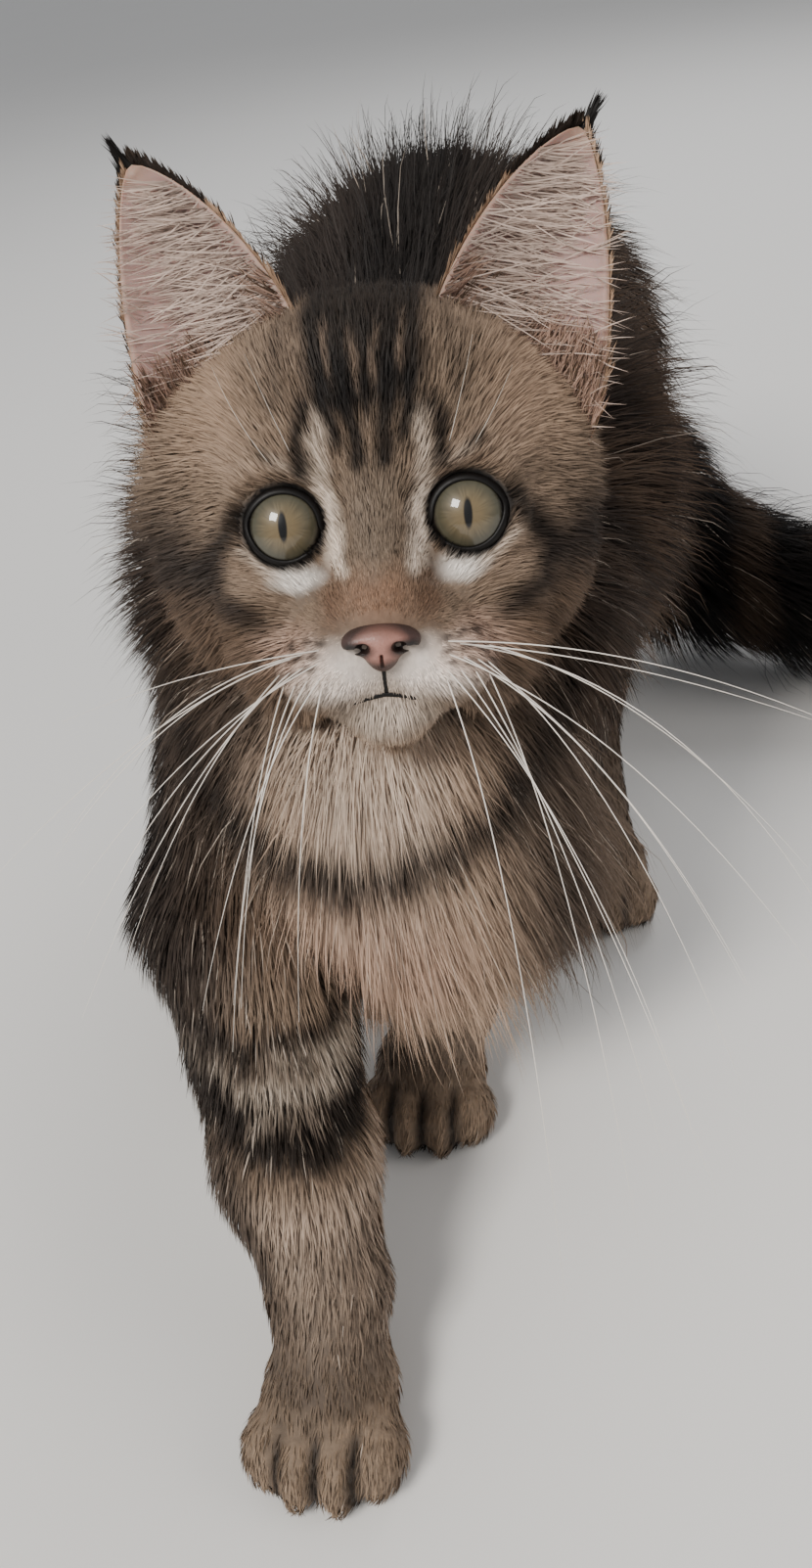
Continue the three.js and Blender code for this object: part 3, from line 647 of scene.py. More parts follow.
def markings(points, shares):
    """The coat's colour at points of the skin or of the hair over it."""
    colour = np.zeros((len(points), 3))
    for i, name in enumerate(PART_NAMES):
        use = shares[:, i] > 0.02
        if use.any():
            colour[use] += MARKINGS[kind_of(name)](points[use]) * shares[use, i][:, None]
    return colour


# How the hair grows: its lie, length, lift off the skin and width on each part
def lie_of(name, points):
    """The way the hair of a part lies, before it is laid along the skin."""
    x, y, _ = BODY.local(points).T
    kind = kind_of(name)
    if kind == "head":
        own = HEAD.local(points)
        way = own - np.array([0, -19, 13])
        way[:, 1] += np.where(own[:, 1] > -18, 4, -2)
        sides = above(np.abs(own[:, 0]), 24, 14)[:, None]
        way = unit(way) + sides * np.array([0, -0.75, -0.35])
        under = below(own[:, 1], -30, 10)[:, None]
        way = way * (1 - 0.7 * under) + under * np.array([0, -0.8, -0.25])
        return HEAD.turn(unit(way))
    if kind == "neck":
        top = above(y, 138, 24)[:, None]
        way = np.array([0, -0.15, -1]) * (1 - top) + np.array([0, 1, -0.3]) * top
        way = way + np.stack([(x - 3) / 70, x * 0, x * 0], 1)
        return BODY.turn(unit(way))
    if kind == "torso":
        front = below(y, 132, 30)[:, None]
        side = np.clip(np.abs(x) / 40, 0, 1)[:, None]
        back = np.array([0, 1, -0.12]) + side * np.array([0, 0, -0.75])
        down = np.array([0, -0.1, -1]) + np.stack([x / 60, x * 0, x * 0], 1)
        return BODY.turn(unit(back * (1 - front) + down * front))
    if kind == "tail":
        line = BODY.world(np.array(TAIL_LINE, float))
        nearest = np.argmin(np.linalg.norm(points[:, None] - line[None], axis=-1), 1)
        steps = unit(np.gradient(line, axis=0))
        return steps[nearest]
    if kind in ("forepaw", "hindpaw"):
        return BODY.turn(unit(np.array([0, -1, -0.45]) + np.zeros_like(points)))
    line = LEG_LINES[name]
    way = np.array(line[-1], float) - np.array(line[0], float)
    way = way / np.linalg.norm(way) + np.array([0, 0.25 if kind == "thigh" else 0, -0.35])
    return BODY.turn(unit(way + np.zeros_like(points)))


GROWTH = {  # length, lift in degrees, width
    "neck": (23, 32, 0.42),
    "torso": (32, 38, 0.5),
    "foreleg": (11, 24, 0.34),
    "forepaw": (4.2, 20, 0.28),
    "thigh": (23, 34, 0.48),
    "shank": (10, 24, 0.36),
    "hindpaw": (4.4, 16, 0.3),
    "tail": (30, 40, 0.54),
}


def growth(points, shares):
    """Each point's hair as length, lift and width: short on the face, longer on the cheeks and nape."""
    own = HEAD.local(points)
    x, y, z = own.T
    body_x, body_y, body_z = BODY.local(points).T
    from_nose = np.linalg.norm(own - np.array([0, -20, 14]), axis=1)
    head_length = 1.5 + 0.1 * from_nose + 0.0016 * np.maximum(from_nose - 22, 0) ** 2
    cheek = above(np.abs(x), 31, 10) * above(y, -14, 14)
    rear = below(z, -34, 12)
    under = below(y, -34, 8) * below(z, -4, 12)
    edge = below(z, -20, 14) * below(y, 6, 16)
    jaw = below(y, -16, 10) * above(np.abs(x), 15, 8) * below(z, 2, 12)
    head_length = head_length + 4 * cheek + 4 * rear + 8 * under + 6 * edge + 9 * jaw * (1 - edge)
    pocket = np.exp(-((np.linalg.norm((np.abs(own) - [40, 12, 24]) / [1, 1.3, 1], axis=1) / 12) ** 2))
    pocket = pocket * (y > 0)
    chin = below(y, -31, 5) * above(z, -6, 8)
    head_length = head_length + 4.5 * pocket + 3.5 * chin
    turned_away = above(x, 26, 10)
    head_length = head_length * (1 - 0.4 * turned_away)
    out = np.zeros((len(points), 3))
    for i, name in enumerate(PART_NAMES):
        kind = kind_of(name)
        if kind == "head":
            lift = 16 + 0.3 * from_nose + 22 * pocket + 12 * edge + 12 * jaw
            values = np.stack([head_length, lift, 0.26 + 0.0022 * from_nose], 1)
        else:
            values = np.tile(GROWTH[kind], (len(points), 1)).astype(float)
        if kind == "foreleg":
            values[:, 0] *= np.clip(0.55 + (body_z - 22) / 70, 0.5, 1.5)
        if kind == "neck":
            values[:, 0] *= np.where(body_y > 140, 0.75, 1)
        if kind == "tail":
            values[:, 0] += 8 * above(body_x, 130, 24)
        if kind == "torso":
            fringe = below(body_y, 146, 16) * below(body_z, 84, 20)
            flank = above(np.abs(body_x), 26, 14) * below(body_y, 230, 60)
            values[:, 0] += 17 * fringe + 9 * flank * (1 - fringe)
            values[:, 1] += 10 * flank * (1 - fringe)
            shoulder = below(body_x, -20, 10) * below(body_y, 240, 60)
            values[:, 0] += 3 * shoulder
            values[:, 1] += 9 * shoulder
        out += values * shares[:, i][:, None]
    return out


class Skin:
    """The skin's mesh, and all that the coat needs to know at each of its points."""

    def __init__(self):
        field, axes = skin_field()
        self.points, self.quads = mesh_field(field, axes)
        self.normals = point_normals(self.points, self.quads)
        self.shares = part_shares(self.points)
        self.colours = markings(self.points, self.shares)
        lie = np.zeros_like(self.points)
        for i, name in enumerate(PART_NAMES):
            use = self.shares[:, i] > 0.02
            lie[use] += lie_of(name, self.points[use]) * self.shares[use, i][:, None]
        self.lie = unit(lie - (lie * self.normals).sum(1, keepdims=True) * self.normals)
        self.growth = growth(self.points, self.shares)
        self.corners = np.concatenate([self.quads[:, [0, 1, 2]], self.quads[:, [0, 2, 3]]])
        a, b, c = (self.points[self.corners[:, k]] for k in range(3))
        self.areas = np.linalg.norm(np.cross(b - a, c - a), axis=1) / 2
        self.middles = (a + b + c) / 3

    def scatter(self, density, count, rng):
        """Roots spread over the skin by a density for each triangle: their triangles and corner weights."""
        chance = self.areas * density
        pick = np.searchsorted(np.cumsum(chance) / chance.sum(), rng.random(count))
        pick = np.minimum(pick, len(chance) - 1)
        r = rng.random((count, 2))
        flip = r.sum(1) > 1
        r[flip] = 1 - r[flip]
        return self.corners[pick], np.stack([1 - r.sum(1), r[:, 0], r[:, 1]], 1)

    def at(self, values, where):
        """Values of the skin's points, taken at scattered roots."""
        corners, weights = where
        return (values[corners] * weights[..., None]).sum(1)


def unwrap(points, shares):
    """Each part's place on the flat map: a tile of its own, with the way along it and round it."""
    part = shares.argmax(1)
    uv = np.zeros((len(points), 2))
    for i, name in enumerate(PART_NAMES):
        use = part == i
        if not use.any():
            continue
        if name == "head":
            x, y, z = (HEAD.local(points[use]) - np.array([0, -3, -24])).T
        else:
            middle = np.mean([BODY.local((m[1] + m[2])[None] / 2)[0] for m in PARTS[name][0]], 0)
            x, y, z = (BODY.local(points[use]) - middle).T
        across = np.arctan2(x, z) / (2 * math.pi) + 0.5
        depth = y if name in ("torso", "head") else z + 0.3 * y
        span = {"torso": 150, "head": 48, "tail": 110}.get(name, 60)
        along = np.clip(depth / (2 * span) + 0.5, 0.01, 0.99)
        tile = np.array([i % 4, i // 4]) * 0.25
        uv[use] = tile + 0.008 + 0.234 * np.stack([across, along], 1)
    return uv


def clump_paths(paths, roots, size, strength, rng):
    """Draws hairs of one small patch together towards their ends, as a soft coat parts into locks."""
    warp = np.stack([wobble(roots, size * 3.5, 21 + k) for k in range(3)], 1) * size * 0.8
    cell = np.floor((roots + warp) / size).astype(np.int64)
    key = (cell[:, 0] * 4001 + cell[:, 1]) * 4001 + cell[:, 2]
    _, group = np.unique(key, return_inverse=True)
    group = group.ravel()
    number = np.bincount(group)
    pull = strength * rng.uniform(0.5, 1.0, len(number))[group]
    steps = paths.shape[1] - 1
    for i in range(1, steps + 1):
        mean = np.stack([np.bincount(group, paths[:, i, k]) / number for k in range(3)], 1)[group]
        share = (pull * (i / steps) ** 1.4)[:, None]
        paths[:, i] += (mean - paths[:, i]) * share
    return paths


def hair_paths(roots, normals, lie, length, lift, droop, steps, spread, rng):
    """The line of each hair: it leaves the skin at its lift and lies down towards its end."""
    across = np.cross(normals, lie)
    turn = rng.normal(0, spread, len(roots))[:, None]
    lie = unit(lie * np.cos(turn) + across * np.sin(turn))
    lift = np.radians(lift * rng.uniform(0.7, 1.3, len(roots)))[:, None]
    paths = np.zeros((len(roots), steps + 1, 3))
    paths[:, 0] = roots - normals * ROOT_DEPTH
    for i in range(1, steps + 1):
        t = (i - 0.5) / steps
        rise = lift * (1.15 - 0.75 * t)
        way = lie * np.cos(rise) + normals * np.sin(rise)
        way[:, 2] -= droop * t * t
        paths[:, i] = paths[:, i - 1] + unit(way) * (length / steps)[:, None]
    paths[:, :, 2] = np.maximum(paths[:, :, 2], 0.25)
    return paths


def hair_mesh(paths, normals, width, colours, uv, rng):
    """Flat, tapered strips along the paths, with their colour from root to tip."""
    count, stations = paths.shape[:2]
    steps = stations - 1
    way = unit(paths[:, -1] - paths[:, 0])
    side = unit(np.cross(normals, way))
    top = unit(np.cross(way, side))
    roll = rng.normal(0, 0.55, count)[:, None]
    side = side * np.cos(roll) + top * np.sin(roll)
    share = np.array([0.75, 1.0, 0.8, 0.5, 0.3])[:steps] if steps > 2 else np.array([0.85, 0.9])
    points = np.zeros((count, 2 * steps + 1, 3))
    for i in range(steps):
        half = side * (width * share[i] / 2)[:, None]
        points[:, 2 * i] = paths[:, i] - half
        points[:, 2 * i + 1] = paths[:, i] + half
    points[:, -1] = paths[:, -1]
    strip = []
    for i in range(steps - 1):
        a = 2 * i
        strip += [(a, a + 3, a + 1), (a, a + 2, a + 3)]
    strip.append((2 * steps - 2, 2 * steps, 2 * steps - 1))
    strip = np.array(strip)
    faces = (np.arange(count)[:, None, None] * (2 * steps + 1) + strip[None]).reshape(-1, 3)
    station = np.append(np.repeat(np.arange(steps), 2), steps)
    tint = colours[:, station]
    face_out = unit(normals - (normals * way).sum(1, keepdims=True) * way)
    face_out = unit(face_out + 0.18 * rng.normal(size=face_out.shape))
    shading = np.repeat(face_out[:, None], 2 * steps + 1, 1)
    patch = rng.uniform(-PATCH_SCATTER, PATCH_SCATTER, (count, 1, 2)) + uv[:, None]
    across = np.append(np.tile([-1.0, 1.0], steps), 0.0)
    offset = np.stack([across, 2 * (station / steps) - 1], 1) * PATCH_HALF
    patch = patch + offset[None]
    return points.reshape(-1, 3), faces, tint.reshape(-1, 3), shading.reshape(-1, 3), patch.reshape(-1, 2)


def volume(points, faces):
    """Six times the volume that the faces close in, negative where they face inwards."""
    total = 0.0
    for k in range(1, faces.shape[1] - 1):
        a, b, c = (points[faces[:, n]].astype(float) for n in (0, k, k + 1))
        total += (np.cross(a, b) * c).sum()
    return total


def make_piece(name, points, faces, finish, tint=None, shading=None, uv=None, replaces=()):
    """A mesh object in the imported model's frame, riding on it."""
    mesh = bpy.data.meshes.new(name)
    placed = ((np.asarray(points) + SHIFT) * MM).astype(np.float32)
    faces = np.asarray(faces, np.int32)
    if shading is None and volume(placed, faces) < 0:
        faces = faces[:, ::-1]
    mesh.vertices.add(len(placed))
    mesh.vertices.foreach_set("co", placed.ravel())
    mesh.loops.add(faces.size)
    mesh.loops.foreach_set("vertex_index", faces.ravel())
    mesh.polygons.add(len(faces))
    mesh.polygons.foreach_set("loop_start", np.arange(0, faces.size, faces.shape[1], dtype=np.int32))
    mesh.update(calc_edges=True)
    mesh.polygons.foreach_set("use_smooth", np.ones(len(faces), bool))
    if tint is not None:
        attribute = mesh.color_attributes.new("tint", "FLOAT_COLOR", "POINT")
        values = np.concatenate([np.clip(tint, 0, 1), np.ones((len(tint), 1))], 1).astype(np.float32)
        attribute.data.foreach_set("color", values.ravel())
    if uv is not None:
        layer = mesh.uv_layers.new(name="OFBake")
        layer.data.foreach_set("uv", uv[faces.ravel()].astype(np.float32).ravel())
    if shading is not None:
        mesh.normals_split_custom_set_from_vertices(shading.tolist())
    mesh.materials.append(finish)
    return show_piece(name, mesh, replaces)


def show_piece(name, mesh, replaces=()):
    piece = bpy.data.objects.new(name, mesh)
    bpy.context.scene.collection.objects.link(piece)
    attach(piece, "root")
    if replaces:
        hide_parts(*replaces)
    return piece


def revolve_grid(rings):
    """Quads between rows of points, each row closed on itself."""
    rows, columns = rings.shape[:2]
    index = np.arange(rows * columns).reshape(rows, columns)
    after = np.roll(index, -1, 1)
    quads = np.stack([index[:-1], after[:-1], after[1:], index[1:]], -1).reshape(-1, 4)
    return rings.reshape(-1, 3), quads


# Materials
def node(tree, kind, **values):
    made = tree.nodes.new(kind)
    for key, value in values.items():
        if key in made.inputs:
            made.inputs[key].default_value = value
        else:
            setattr(made, key, value)
    return made


def add_sockets(tree, way, wanted):
    for label, kind in wanted:
        tree.interface.new_socket(label, in_out=way, socket_type="NodeSocket" + kind)


def join(tree, pairs):
    for source, output, target, socket in pairs:
        tree.links.new(source.outputs[output], target.inputs[socket])


def variation_group():
    """Uneven colour and a height for bump, from a piece's own coordinates."""
    name = "Uneven colour"
    if name in bpy.data.node_groups:
        return bpy.data.node_groups[name]
    tree = bpy.data.node_groups.new(name, "ShaderNodeTree")
    add_sockets(tree, "INPUT", (("Color", "Color"), ("Size", "Float"), ("Amount", "Float")))
    add_sockets(tree, "OUTPUT", (("Color", "Color"), ("Height", "Float")))
    inputs, outputs = tree.nodes.new("NodeGroupInput"), tree.nodes.new("NodeGroupOutput")
    place = tree.nodes.new("ShaderNodeTexCoord")
    noise = node(tree, "ShaderNodeTexNoise", Detail=4.0)
    shift = node(tree, "ShaderNodeMath", operation="SUBTRACT")
    shift.inputs[1].default_value = 0.5
    scaled = node(tree, "ShaderNodeMath", operation="MULTIPLY_ADD")
    scaled.inputs[2].default_value = 1.0
    colour = node(tree, "ShaderNodeMix", data_type="RGBA", blend_type="MULTIPLY")
    colour.inputs["Factor"].default_value = 1.0
    join(
        tree,
        [
            (place, "Object", noise, "Vector"),
            (inputs, "Size", noise, "Scale"),
            (noise, "Fac", shift, 0),
            (shift, 0, scaled, 0),
            (inputs, "Amount", scaled, 1),
            (inputs, "Color", colour, "A"),
            (scaled, 0, colour, "B"),
            (colour, "Result", outputs, "Color"),
            (noise, "Fac", outputs, "Height"),
        ],
    )
    return tree


def surface(name, size, amount, bump, roughness, colour=None, sockets=()):
    """A material that takes its colour from the piece's own markings, or from one colour."""
    made = bpy.data.materials.new(name)
    made.use_nodes = True
    tree = made.node_tree
    shader = tree.nodes["Principled BSDF"]
    shader.inputs["Roughness"].default_value = roughness
    for key, value in sockets:
        shader.inputs[key].default_value = value
    uneven = tree.nodes.new("ShaderNodeGroup")
    uneven.node_tree = variation_group()
    uneven.inputs["Size"].default_value = size
    uneven.inputs["Amount"].default_value = amount
    if colour is None:
        own = tree.nodes.new("ShaderNodeAttribute")
        own.attribute_name = "tint"
        tree.links.new(own.outputs["Color"], uneven.inputs["Color"])
    else:
        uneven.inputs["Color"].default_value = (*colour, 1)
    tree.links.new(uneven.outputs["Color"], shader.inputs["Base Color"])
    if bump:
        relief = node(tree, "ShaderNodeBump", Strength=0.5, Distance=bump)
        tree.links.new(uneven.outputs["Height"], relief.inputs["Height"])
        tree.links.new(relief.outputs["Normal"], shader.inputs["Normal"])
    return made


WET = (("Specular IOR Level", 0.2), ("Coat Weight", 0.85), ("Coat Roughness", 0.02))

# Scale and amount of uneven colour, height of bump, roughness, one colour or None, and other sockets
FINISHES = {
    "skin": (900, 0.5, 0.0006, 0.8),
    "coat": (260, 0.35, 0, 0.62, None, (("Specular IOR Level", 0.22), ("Sheen Weight", 0.03))),
    "ear skin": (420, 0.35, 0.0003, 0.6, None, (("Subsurface Weight", 0.2), ("Subsurface Scale", 0.004))),
    "nose leather": (2600, 0.35, 0.0003, 0.5, None, (("Coat Weight", 0.05),)),
    "lid rim": (1500, 0.3, 0.0001, 0.5, BLACK * 0.6, (("Specular IOR Level", 0.25),)),
    "eyeball": (1800, 0.12, 0, 0.35, None, WET),
    "whisker": (60, 0.1, 0, 0.35, light(226, 217, 206)),
}


def material(name):
    """One of the kitten's finishes, made once."""
    if name in bpy.data.materials:
        return bpy.data.materials[name]
    return surface(name, *FINISHES[name])


class KittenCoatSettings(bpy.types.PropertyGroup):
    """Sizes of the coat."""

    length: bpy.props.FloatProperty(
        name="Length", description="Length of all hair against life", default=1.0, min=0.5, max=1.5
    )
    fullness: bpy.props.FloatProperty(
        name="Fullness", description="Share of the hairs that are made", default=1.0, min=0.05, max=1.0
    )
    seed: bpy.props.IntProperty(name="Seed", description="Start of the random draw", default=7)


class KittenEyeSettings(bpy.types.PropertyGroup):
    """Colours and sizes of the eyes."""

    iris: bpy.props.FloatVectorProperty(
        name="Iris", description="Colour of the iris", subtype="COLOR", default=tuple(light(99, 89, 68))
    )
    pupil_width: bpy.props.FloatProperty(
        name="Pupil width", description="Width of the slit pupil", default=0.0016, unit="LENGTH"
    )
    pupil_height: bpy.props.FloatProperty(
        name="Pupil height", description="Height of the slit pupil", default=0.0056, unit="LENGTH"
    )


class KittenWhiskerSettings(bpy.types.PropertyGroup):
    """Sizes of the whiskers."""

    length: bpy.props.FloatProperty(
        name="Length", description="Length of the longest whisker", default=0.078, unit="LENGTH"
    )
    thickness: bpy.props.FloatProperty(
        name="Thickness", description="Radius of a whisker at its root", default=0.00014, unit="LENGTH"
    )


class KittenStageSettings(bpy.types.PropertyGroup):
    """The floor and the light."""

    floor: bpy.props.FloatVectorProperty(
        name="Floor", description="Colour of the floor", subtype="COLOR", default=(0.72, 0.70, 0.67)
    )
    strength: bpy.props.FloatProperty(
        name="Light", description="Strength of the soft lights", default=1.0, min=0
    )


STORE = {}


def skin():
    if "skin" not in STORE:
        STORE["skin"] = Skin()
    return STORE["skin"]


class KITTEN_OT_stage(bpy.types.Operator):
    """Make the floor, the soft lights and the camera"""

    bl_idname = "kitten.stage"
    bl_label = "Stage"

    def execute(self, context):
        settings = context.scene.kitten_stage
        self.camera(context)
        mesh = bpy.data.meshes.new("floor")
        corners = [(FLOOR_SIZE * x, FLOOR_SIZE * y, 0) for x, y in ((-1, -1), (1, -1), (1, 1), (-1, 1))]
        mesh.from_pydata(corners, [], [(0, 1, 2, 3)])
        floor = bpy.data.objects.new("floor", mesh)
        context.scene.collection.objects.link(floor)
        mesh.materials.append(surface("floor", 4, 0.03, 0, 0.7, colour=tuple(settings.floor)))
        world = bpy.data.worlds.new("soft sky")
        world.use_nodes = True
        sky = world.node_tree.nodes["Background"]
        sky.inputs["Color"].default_value = SKY_COLOUR
        sky.inputs["Strength"].default_value = SKY_STRENGTH
        context.scene.world = world
        middle = Vector((0, 0, 0.1))
        for name, place, width, power, colour in LAMPS:
            data = bpy.data.lights.new(name, "AREA")
            data.size, data.energy, data.color = width, power * settings.strength, colour
            lamp = bpy.data.objects.new(name, data)
            lamp.location = place
            lamp.rotation_euler = (middle - lamp.location).to_track_quat("-Z", "Y").to_euler()
            lamp.visible_glossy = name == "key"
            context.scene.collection.objects.link(lamp)
        return {"FINISHED"}

    def camera(self, context):
        down, roll = math.radians(CAMERA_DOWN), math.radians(CAMERA_ROLL)
        level, rise = Vector((1, 0, 0)), Vector((0, math.sin(down), math.cos(down)))
        right = math.cos(roll) * level - math.sin(roll) * rise
        up = math.sin(roll) * level + math.cos(roll) * rise
        place = Matrix((right, up, right.cross(up))).transposed().to_4x4()
        place.translation = (Vector(CAMERA_AT) + Vector(SHIFT)) * MM
        data = bpy.data.cameras.new("camera")
        data.lens, data.sensor_width = FOCAL_LENGTH / PICTURE_HEIGHT * SENSOR, SENSOR
        data.clip_start = 0.01
        camera = bpy.data.objects.new("camera", data)
        camera.matrix_world = place
        context.scene.collection.objects.link(camera)
        context.scene.camera = camera


class KITTEN_OT_skin(bpy.types.Operator):
    """Make one skin over the flesh of the head, body, legs and tail"""

    bl_idname = "kitten.skin"
    bl_label = "Skin"

    def execute(self, context):
        own = skin()
        nodes = [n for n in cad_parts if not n.startswith(("eye", "ear", "nose"))]
        shade = own.colours * 0.7
        make_piece("skin", own.points, own.quads, material("skin"), tint=shade, replaces=nodes)
        return {"FINISHED"}


class KITTEN_OT_eyes(bpy.types.Operator):
    """Make both eyes and the dark rims of their lids"""

    bl_idname = "kitten.eyes"
    bl_label = "Eyes"

    def execute(self, context):
        settings = context.scene.kitten_eyes
        for side, name in SIDES:
            at = eye_at(side)
            self.ball(name, at, settings)
            self.rim(name, at, side)
        return {"FINISHED"}

    def ball(self, name, at, settings):
        polar = np.concatenate([np.linspace(0.004, 0.8, 60), np.linspace(0.83, math.pi - 0.02, 22)])
        turn = np.linspace(0, 2 * math.pi, 128, endpoint=False)
        p, t = np.meshgrid(polar, turn, indexing="ij")
        radius = EYE_RADIUS + 0.25 * np.exp(-((p / 0.55) ** 2))
        local = np.stack([np.sin(p) * np.cos(t), np.sin(p) * np.sin(t), np.cos(p)], -1) * radius[..., None]
        points, quads = revolve_grid(HEAD.world(local + at))
        x, y = local[..., 0].ravel(), local[..., 1].ravel()
        across = np.hypot(x, y)
        angle = np.arctan2(y, x)
        iris = np.array(settings.iris)
        fibres = 0.5 + 0.5 * np.sin(angle * 37 + 2.4 * np.sin(angle * 9)) * np.sin(angle * 61 + across)
        colour = iris[None] * (0.72 + 0.4 * fibres[:, None])
        colour = paint(colour, light(114, 97, 68), below(across, 3.1, 1.6) * 0.6)
        colour = paint(colour, light(62, 62, 50), above(across, 4.6, 1.6) * 0.8)
        colour = paint(colour, BLACK * 0.5, above(across, 6.0, 0.7))
        slit = np.hypot(x / (settings.pupil_width / MM / 2), y / (settings.pupil_height / MM / 2)) - 1
        colour = paint(colour, BLACK * 0.25, inside_edge(slit * settings.pupil_width / MM / 2, 0.25))
        nodes = ["eye_" + name]
        make_piece("eyeball_" + name, points, quads, material("eyeball"), tint=colour, replaces=nodes)

    def rim(self, name, at, side):
        turn = np.linspace(0, 2 * math.pi, 96, endpoint=False)
        inner = math.atan2(-0.5, -side)
        off = np.angle(np.exp(1j * (turn - inner)))
        outer = np.angle(np.exp(1j * (turn - math.atan2(0.12, side))))
        # The rim is drawn out at the eye's inner corner, a little at the outer one, and flattened above
        opening = LID_OPENING - 0.55 + 1.5 * np.exp(-((off / 0.28) ** 2))
        opening = opening + 0.4 * np.exp(-((outer / 0.4) ** 2))
        opening = opening - 0.35 * np.clip(np.sin(turn), 0, 1) ** 2
        polar = np.arcsin(np.clip(opening / EYE_RADIUS, 0, 0.97))
        rings = []
        for k in range(8):
            around = 2 * math.pi * k / 8
            p = polar + 0.1 * math.cos(around)
            r = EYE_RADIUS + 0.2 + 0.45 * math.sin(around)
            flat = r * np.sin(p)
            rings.append(np.stack([flat * np.cos(turn), flat * np.sin(turn), r * np.cos(p)], -1))
        rings.append(rings[0])
        points, quads = revolve_grid(HEAD.world(np.array(rings) + at))
        make_piece("lid_rim_" + name, points, quads[:, ::-1], material("lid rim"))


class KITTEN_OT_nose(bpy.types.Operator):
    """Make the nose leather with its nostrils, and the line of the lips"""

    bl_idname = "kitten.nose"
    bl_label = "Nose and lips"

    def execute(self, context):
        step = 0.32
        axes = [np.arange(-9.5, 9.6, step), np.arange(-30, -15, step), np.arange(8, 22.5, step)]
        grid = np.stack(np.meshgrid(*axes, indexing="ij"), -1)
        leather = self.oval_field(grid, (0, -19.6, 15.4), (6.0, 2.9, 3.9))
        leather = blend(leather, self.oval_field(grid, (0, -22.7, 14.5), (2.8, 3.1, 4.1)), 3)
        for side in (1, -1):
            leather = blend(leather, self.oval_field(grid, (side * 4.4, -20.4, 15.9), (2.4, 1.7, 2.5)), 1.5)
            hole = self.oval_field(grid, (side * 3.2, -21.1, 18.8), (1.4, 1.0, 2.8))
            comma = self.oval_field(grid, (side * 5.2, -21.7, 17.2), (1.8, 0.7, 2.4))
            leather = np.maximum(leather, -np.minimum(hole, comma))
        crease = np.hypot(grid[..., 0], np.maximum(grid[..., 1] + 22.4, 0)) - 0.26
        leather = np.maximum(leather, -np.where(grid[..., 2] > 16.8, crease, 5))
        points, quads = mesh_field(leather.astype(np.float32), axes)
        x, y, _ = points.T
        edge = inside_edge(-(np.hypot(x / 6.0, (y + 20.6) / 4.2) - 0.74) * 5, 1.8)
        colour = np.tile(light(156, 110, 98), (len(points), 1))
        colour = paint(colour, light(104, 70, 58), above(y, -19.0, 2) * 0.85)
        colour = paint(colour, BLACK, edge * 0.85)
        # Painted shade inside both nostrils: a dark oval over each opening
        for side in (1, -1):
            dark = np.hypot((x - side * 4.4) / 3.0, (y + 21.5) / 1.6) - 1
            colour = paint(colour, BLACK * 0.5, inside_edge(dark, 0.6) * 0.95)
        world, finish = HEAD.world(points), material("nose leather")
        make_piece("nose_leather", world, quads, finish, tint=colour, replaces=["nose"])
        self.lips()
        return {"FINISHED"}

    def oval_field(self, grid, at, radii):
        d = grid - np.array(at)
        near = np.sqrt(((d / np.array(radii)) ** 2).sum(-1))
        return (near - 1) * min(radii)

    def lips(self):
        # The lip line is partly the dark edge of the lips and partly painted shade in the mouth's crease; the
        # middle line is painted shade in the groove under the nose
        line = [(-14.5, -30.8), (-10, -32.2), (-5, -31.6), (0, -29.8), (5, -31.6), (10, -32.2), (14.5, -30.8)]
        dense = smooth_line(np.array([(x, y, 0.0) for x, y in line]), 40)
        groove = [face_point(x, y, -0.22) for x, y, _ in dense]
        middle = [face_point(0, y, -0.15) for y in np.linspace(-24, -30, 10)]
        for name, path in (("lip_line", groove), ("lip_middle", middle)):
            share = np.sin(np.linspace(0.12, math.pi - 0.12, len(path)))
            radii = 0.25 + 0.35 * share if name == "lip_line" else np.full(len(path), 0.45)
            points, quads = tube(np.array(path), radii, 8)
            make_piece(name, HEAD.world(points), quads, material("lid rim"))


def smooth_line(points, count):
    """A smooth line through points, by rounding its corners again and again."""
    for _ in range(4):
        middle = (points[1:] + points[:-1]) / 2
        rounded = (middle[1:] + middle[:-1]) / 2
        mixed = np.empty((2 * len(middle) - 1, points.shape[1]))
        mixed[0::2] = middle
        mixed[1::2] = rounded * 0.5 + points[1:-1] * 0.5
        points = np.concatenate([points[:1], mixed, points[-1:]])
    gone = np.concatenate([[0], np.cumsum(np.linalg.norm(np.diff(points, axis=0), axis=1))])
    even = np.linspace(0, gone[-1], count)
    return np.stack([np.interp(even, gone, values) for values in points.T], 1)


def face_point(x, y, lift=0.0):
    """The point of the face over a place in the head's own frame."""
    z = np.arange(30, -40, -0.1)
    local = np.stack([np.full_like(z, x), np.full_like(z, y), z], 1)
    inside = part_distance("head", HEAD.world(local)) < 0
    return np.array([x, y, z[inside.argmax()] + lift])


def tube(path, radii, sides):
    """A round tube along a path, closed at both ends."""
    way = unit(np.gradient(path, axis=0))
    side = unit(np.cross(way, np.array([0.31, 0.2, 0.93])))
    top = np.cross(way, side)
    turn = np.linspace(0, 2 * math.pi, sides, endpoint=False)
    ring = side[:, None] * np.cos(turn)[None, :, None] + top[:, None] * np.sin(turn)[None, :, None]
    rings = path[:, None] + ring * np.asarray(radii)[:, None, None]
    ends = np.repeat(path[[0, -1]][:, None], sides, 1)
    rings = np.concatenate([ends[:1], rings, ends[1:]])
    return revolve_grid(rings)


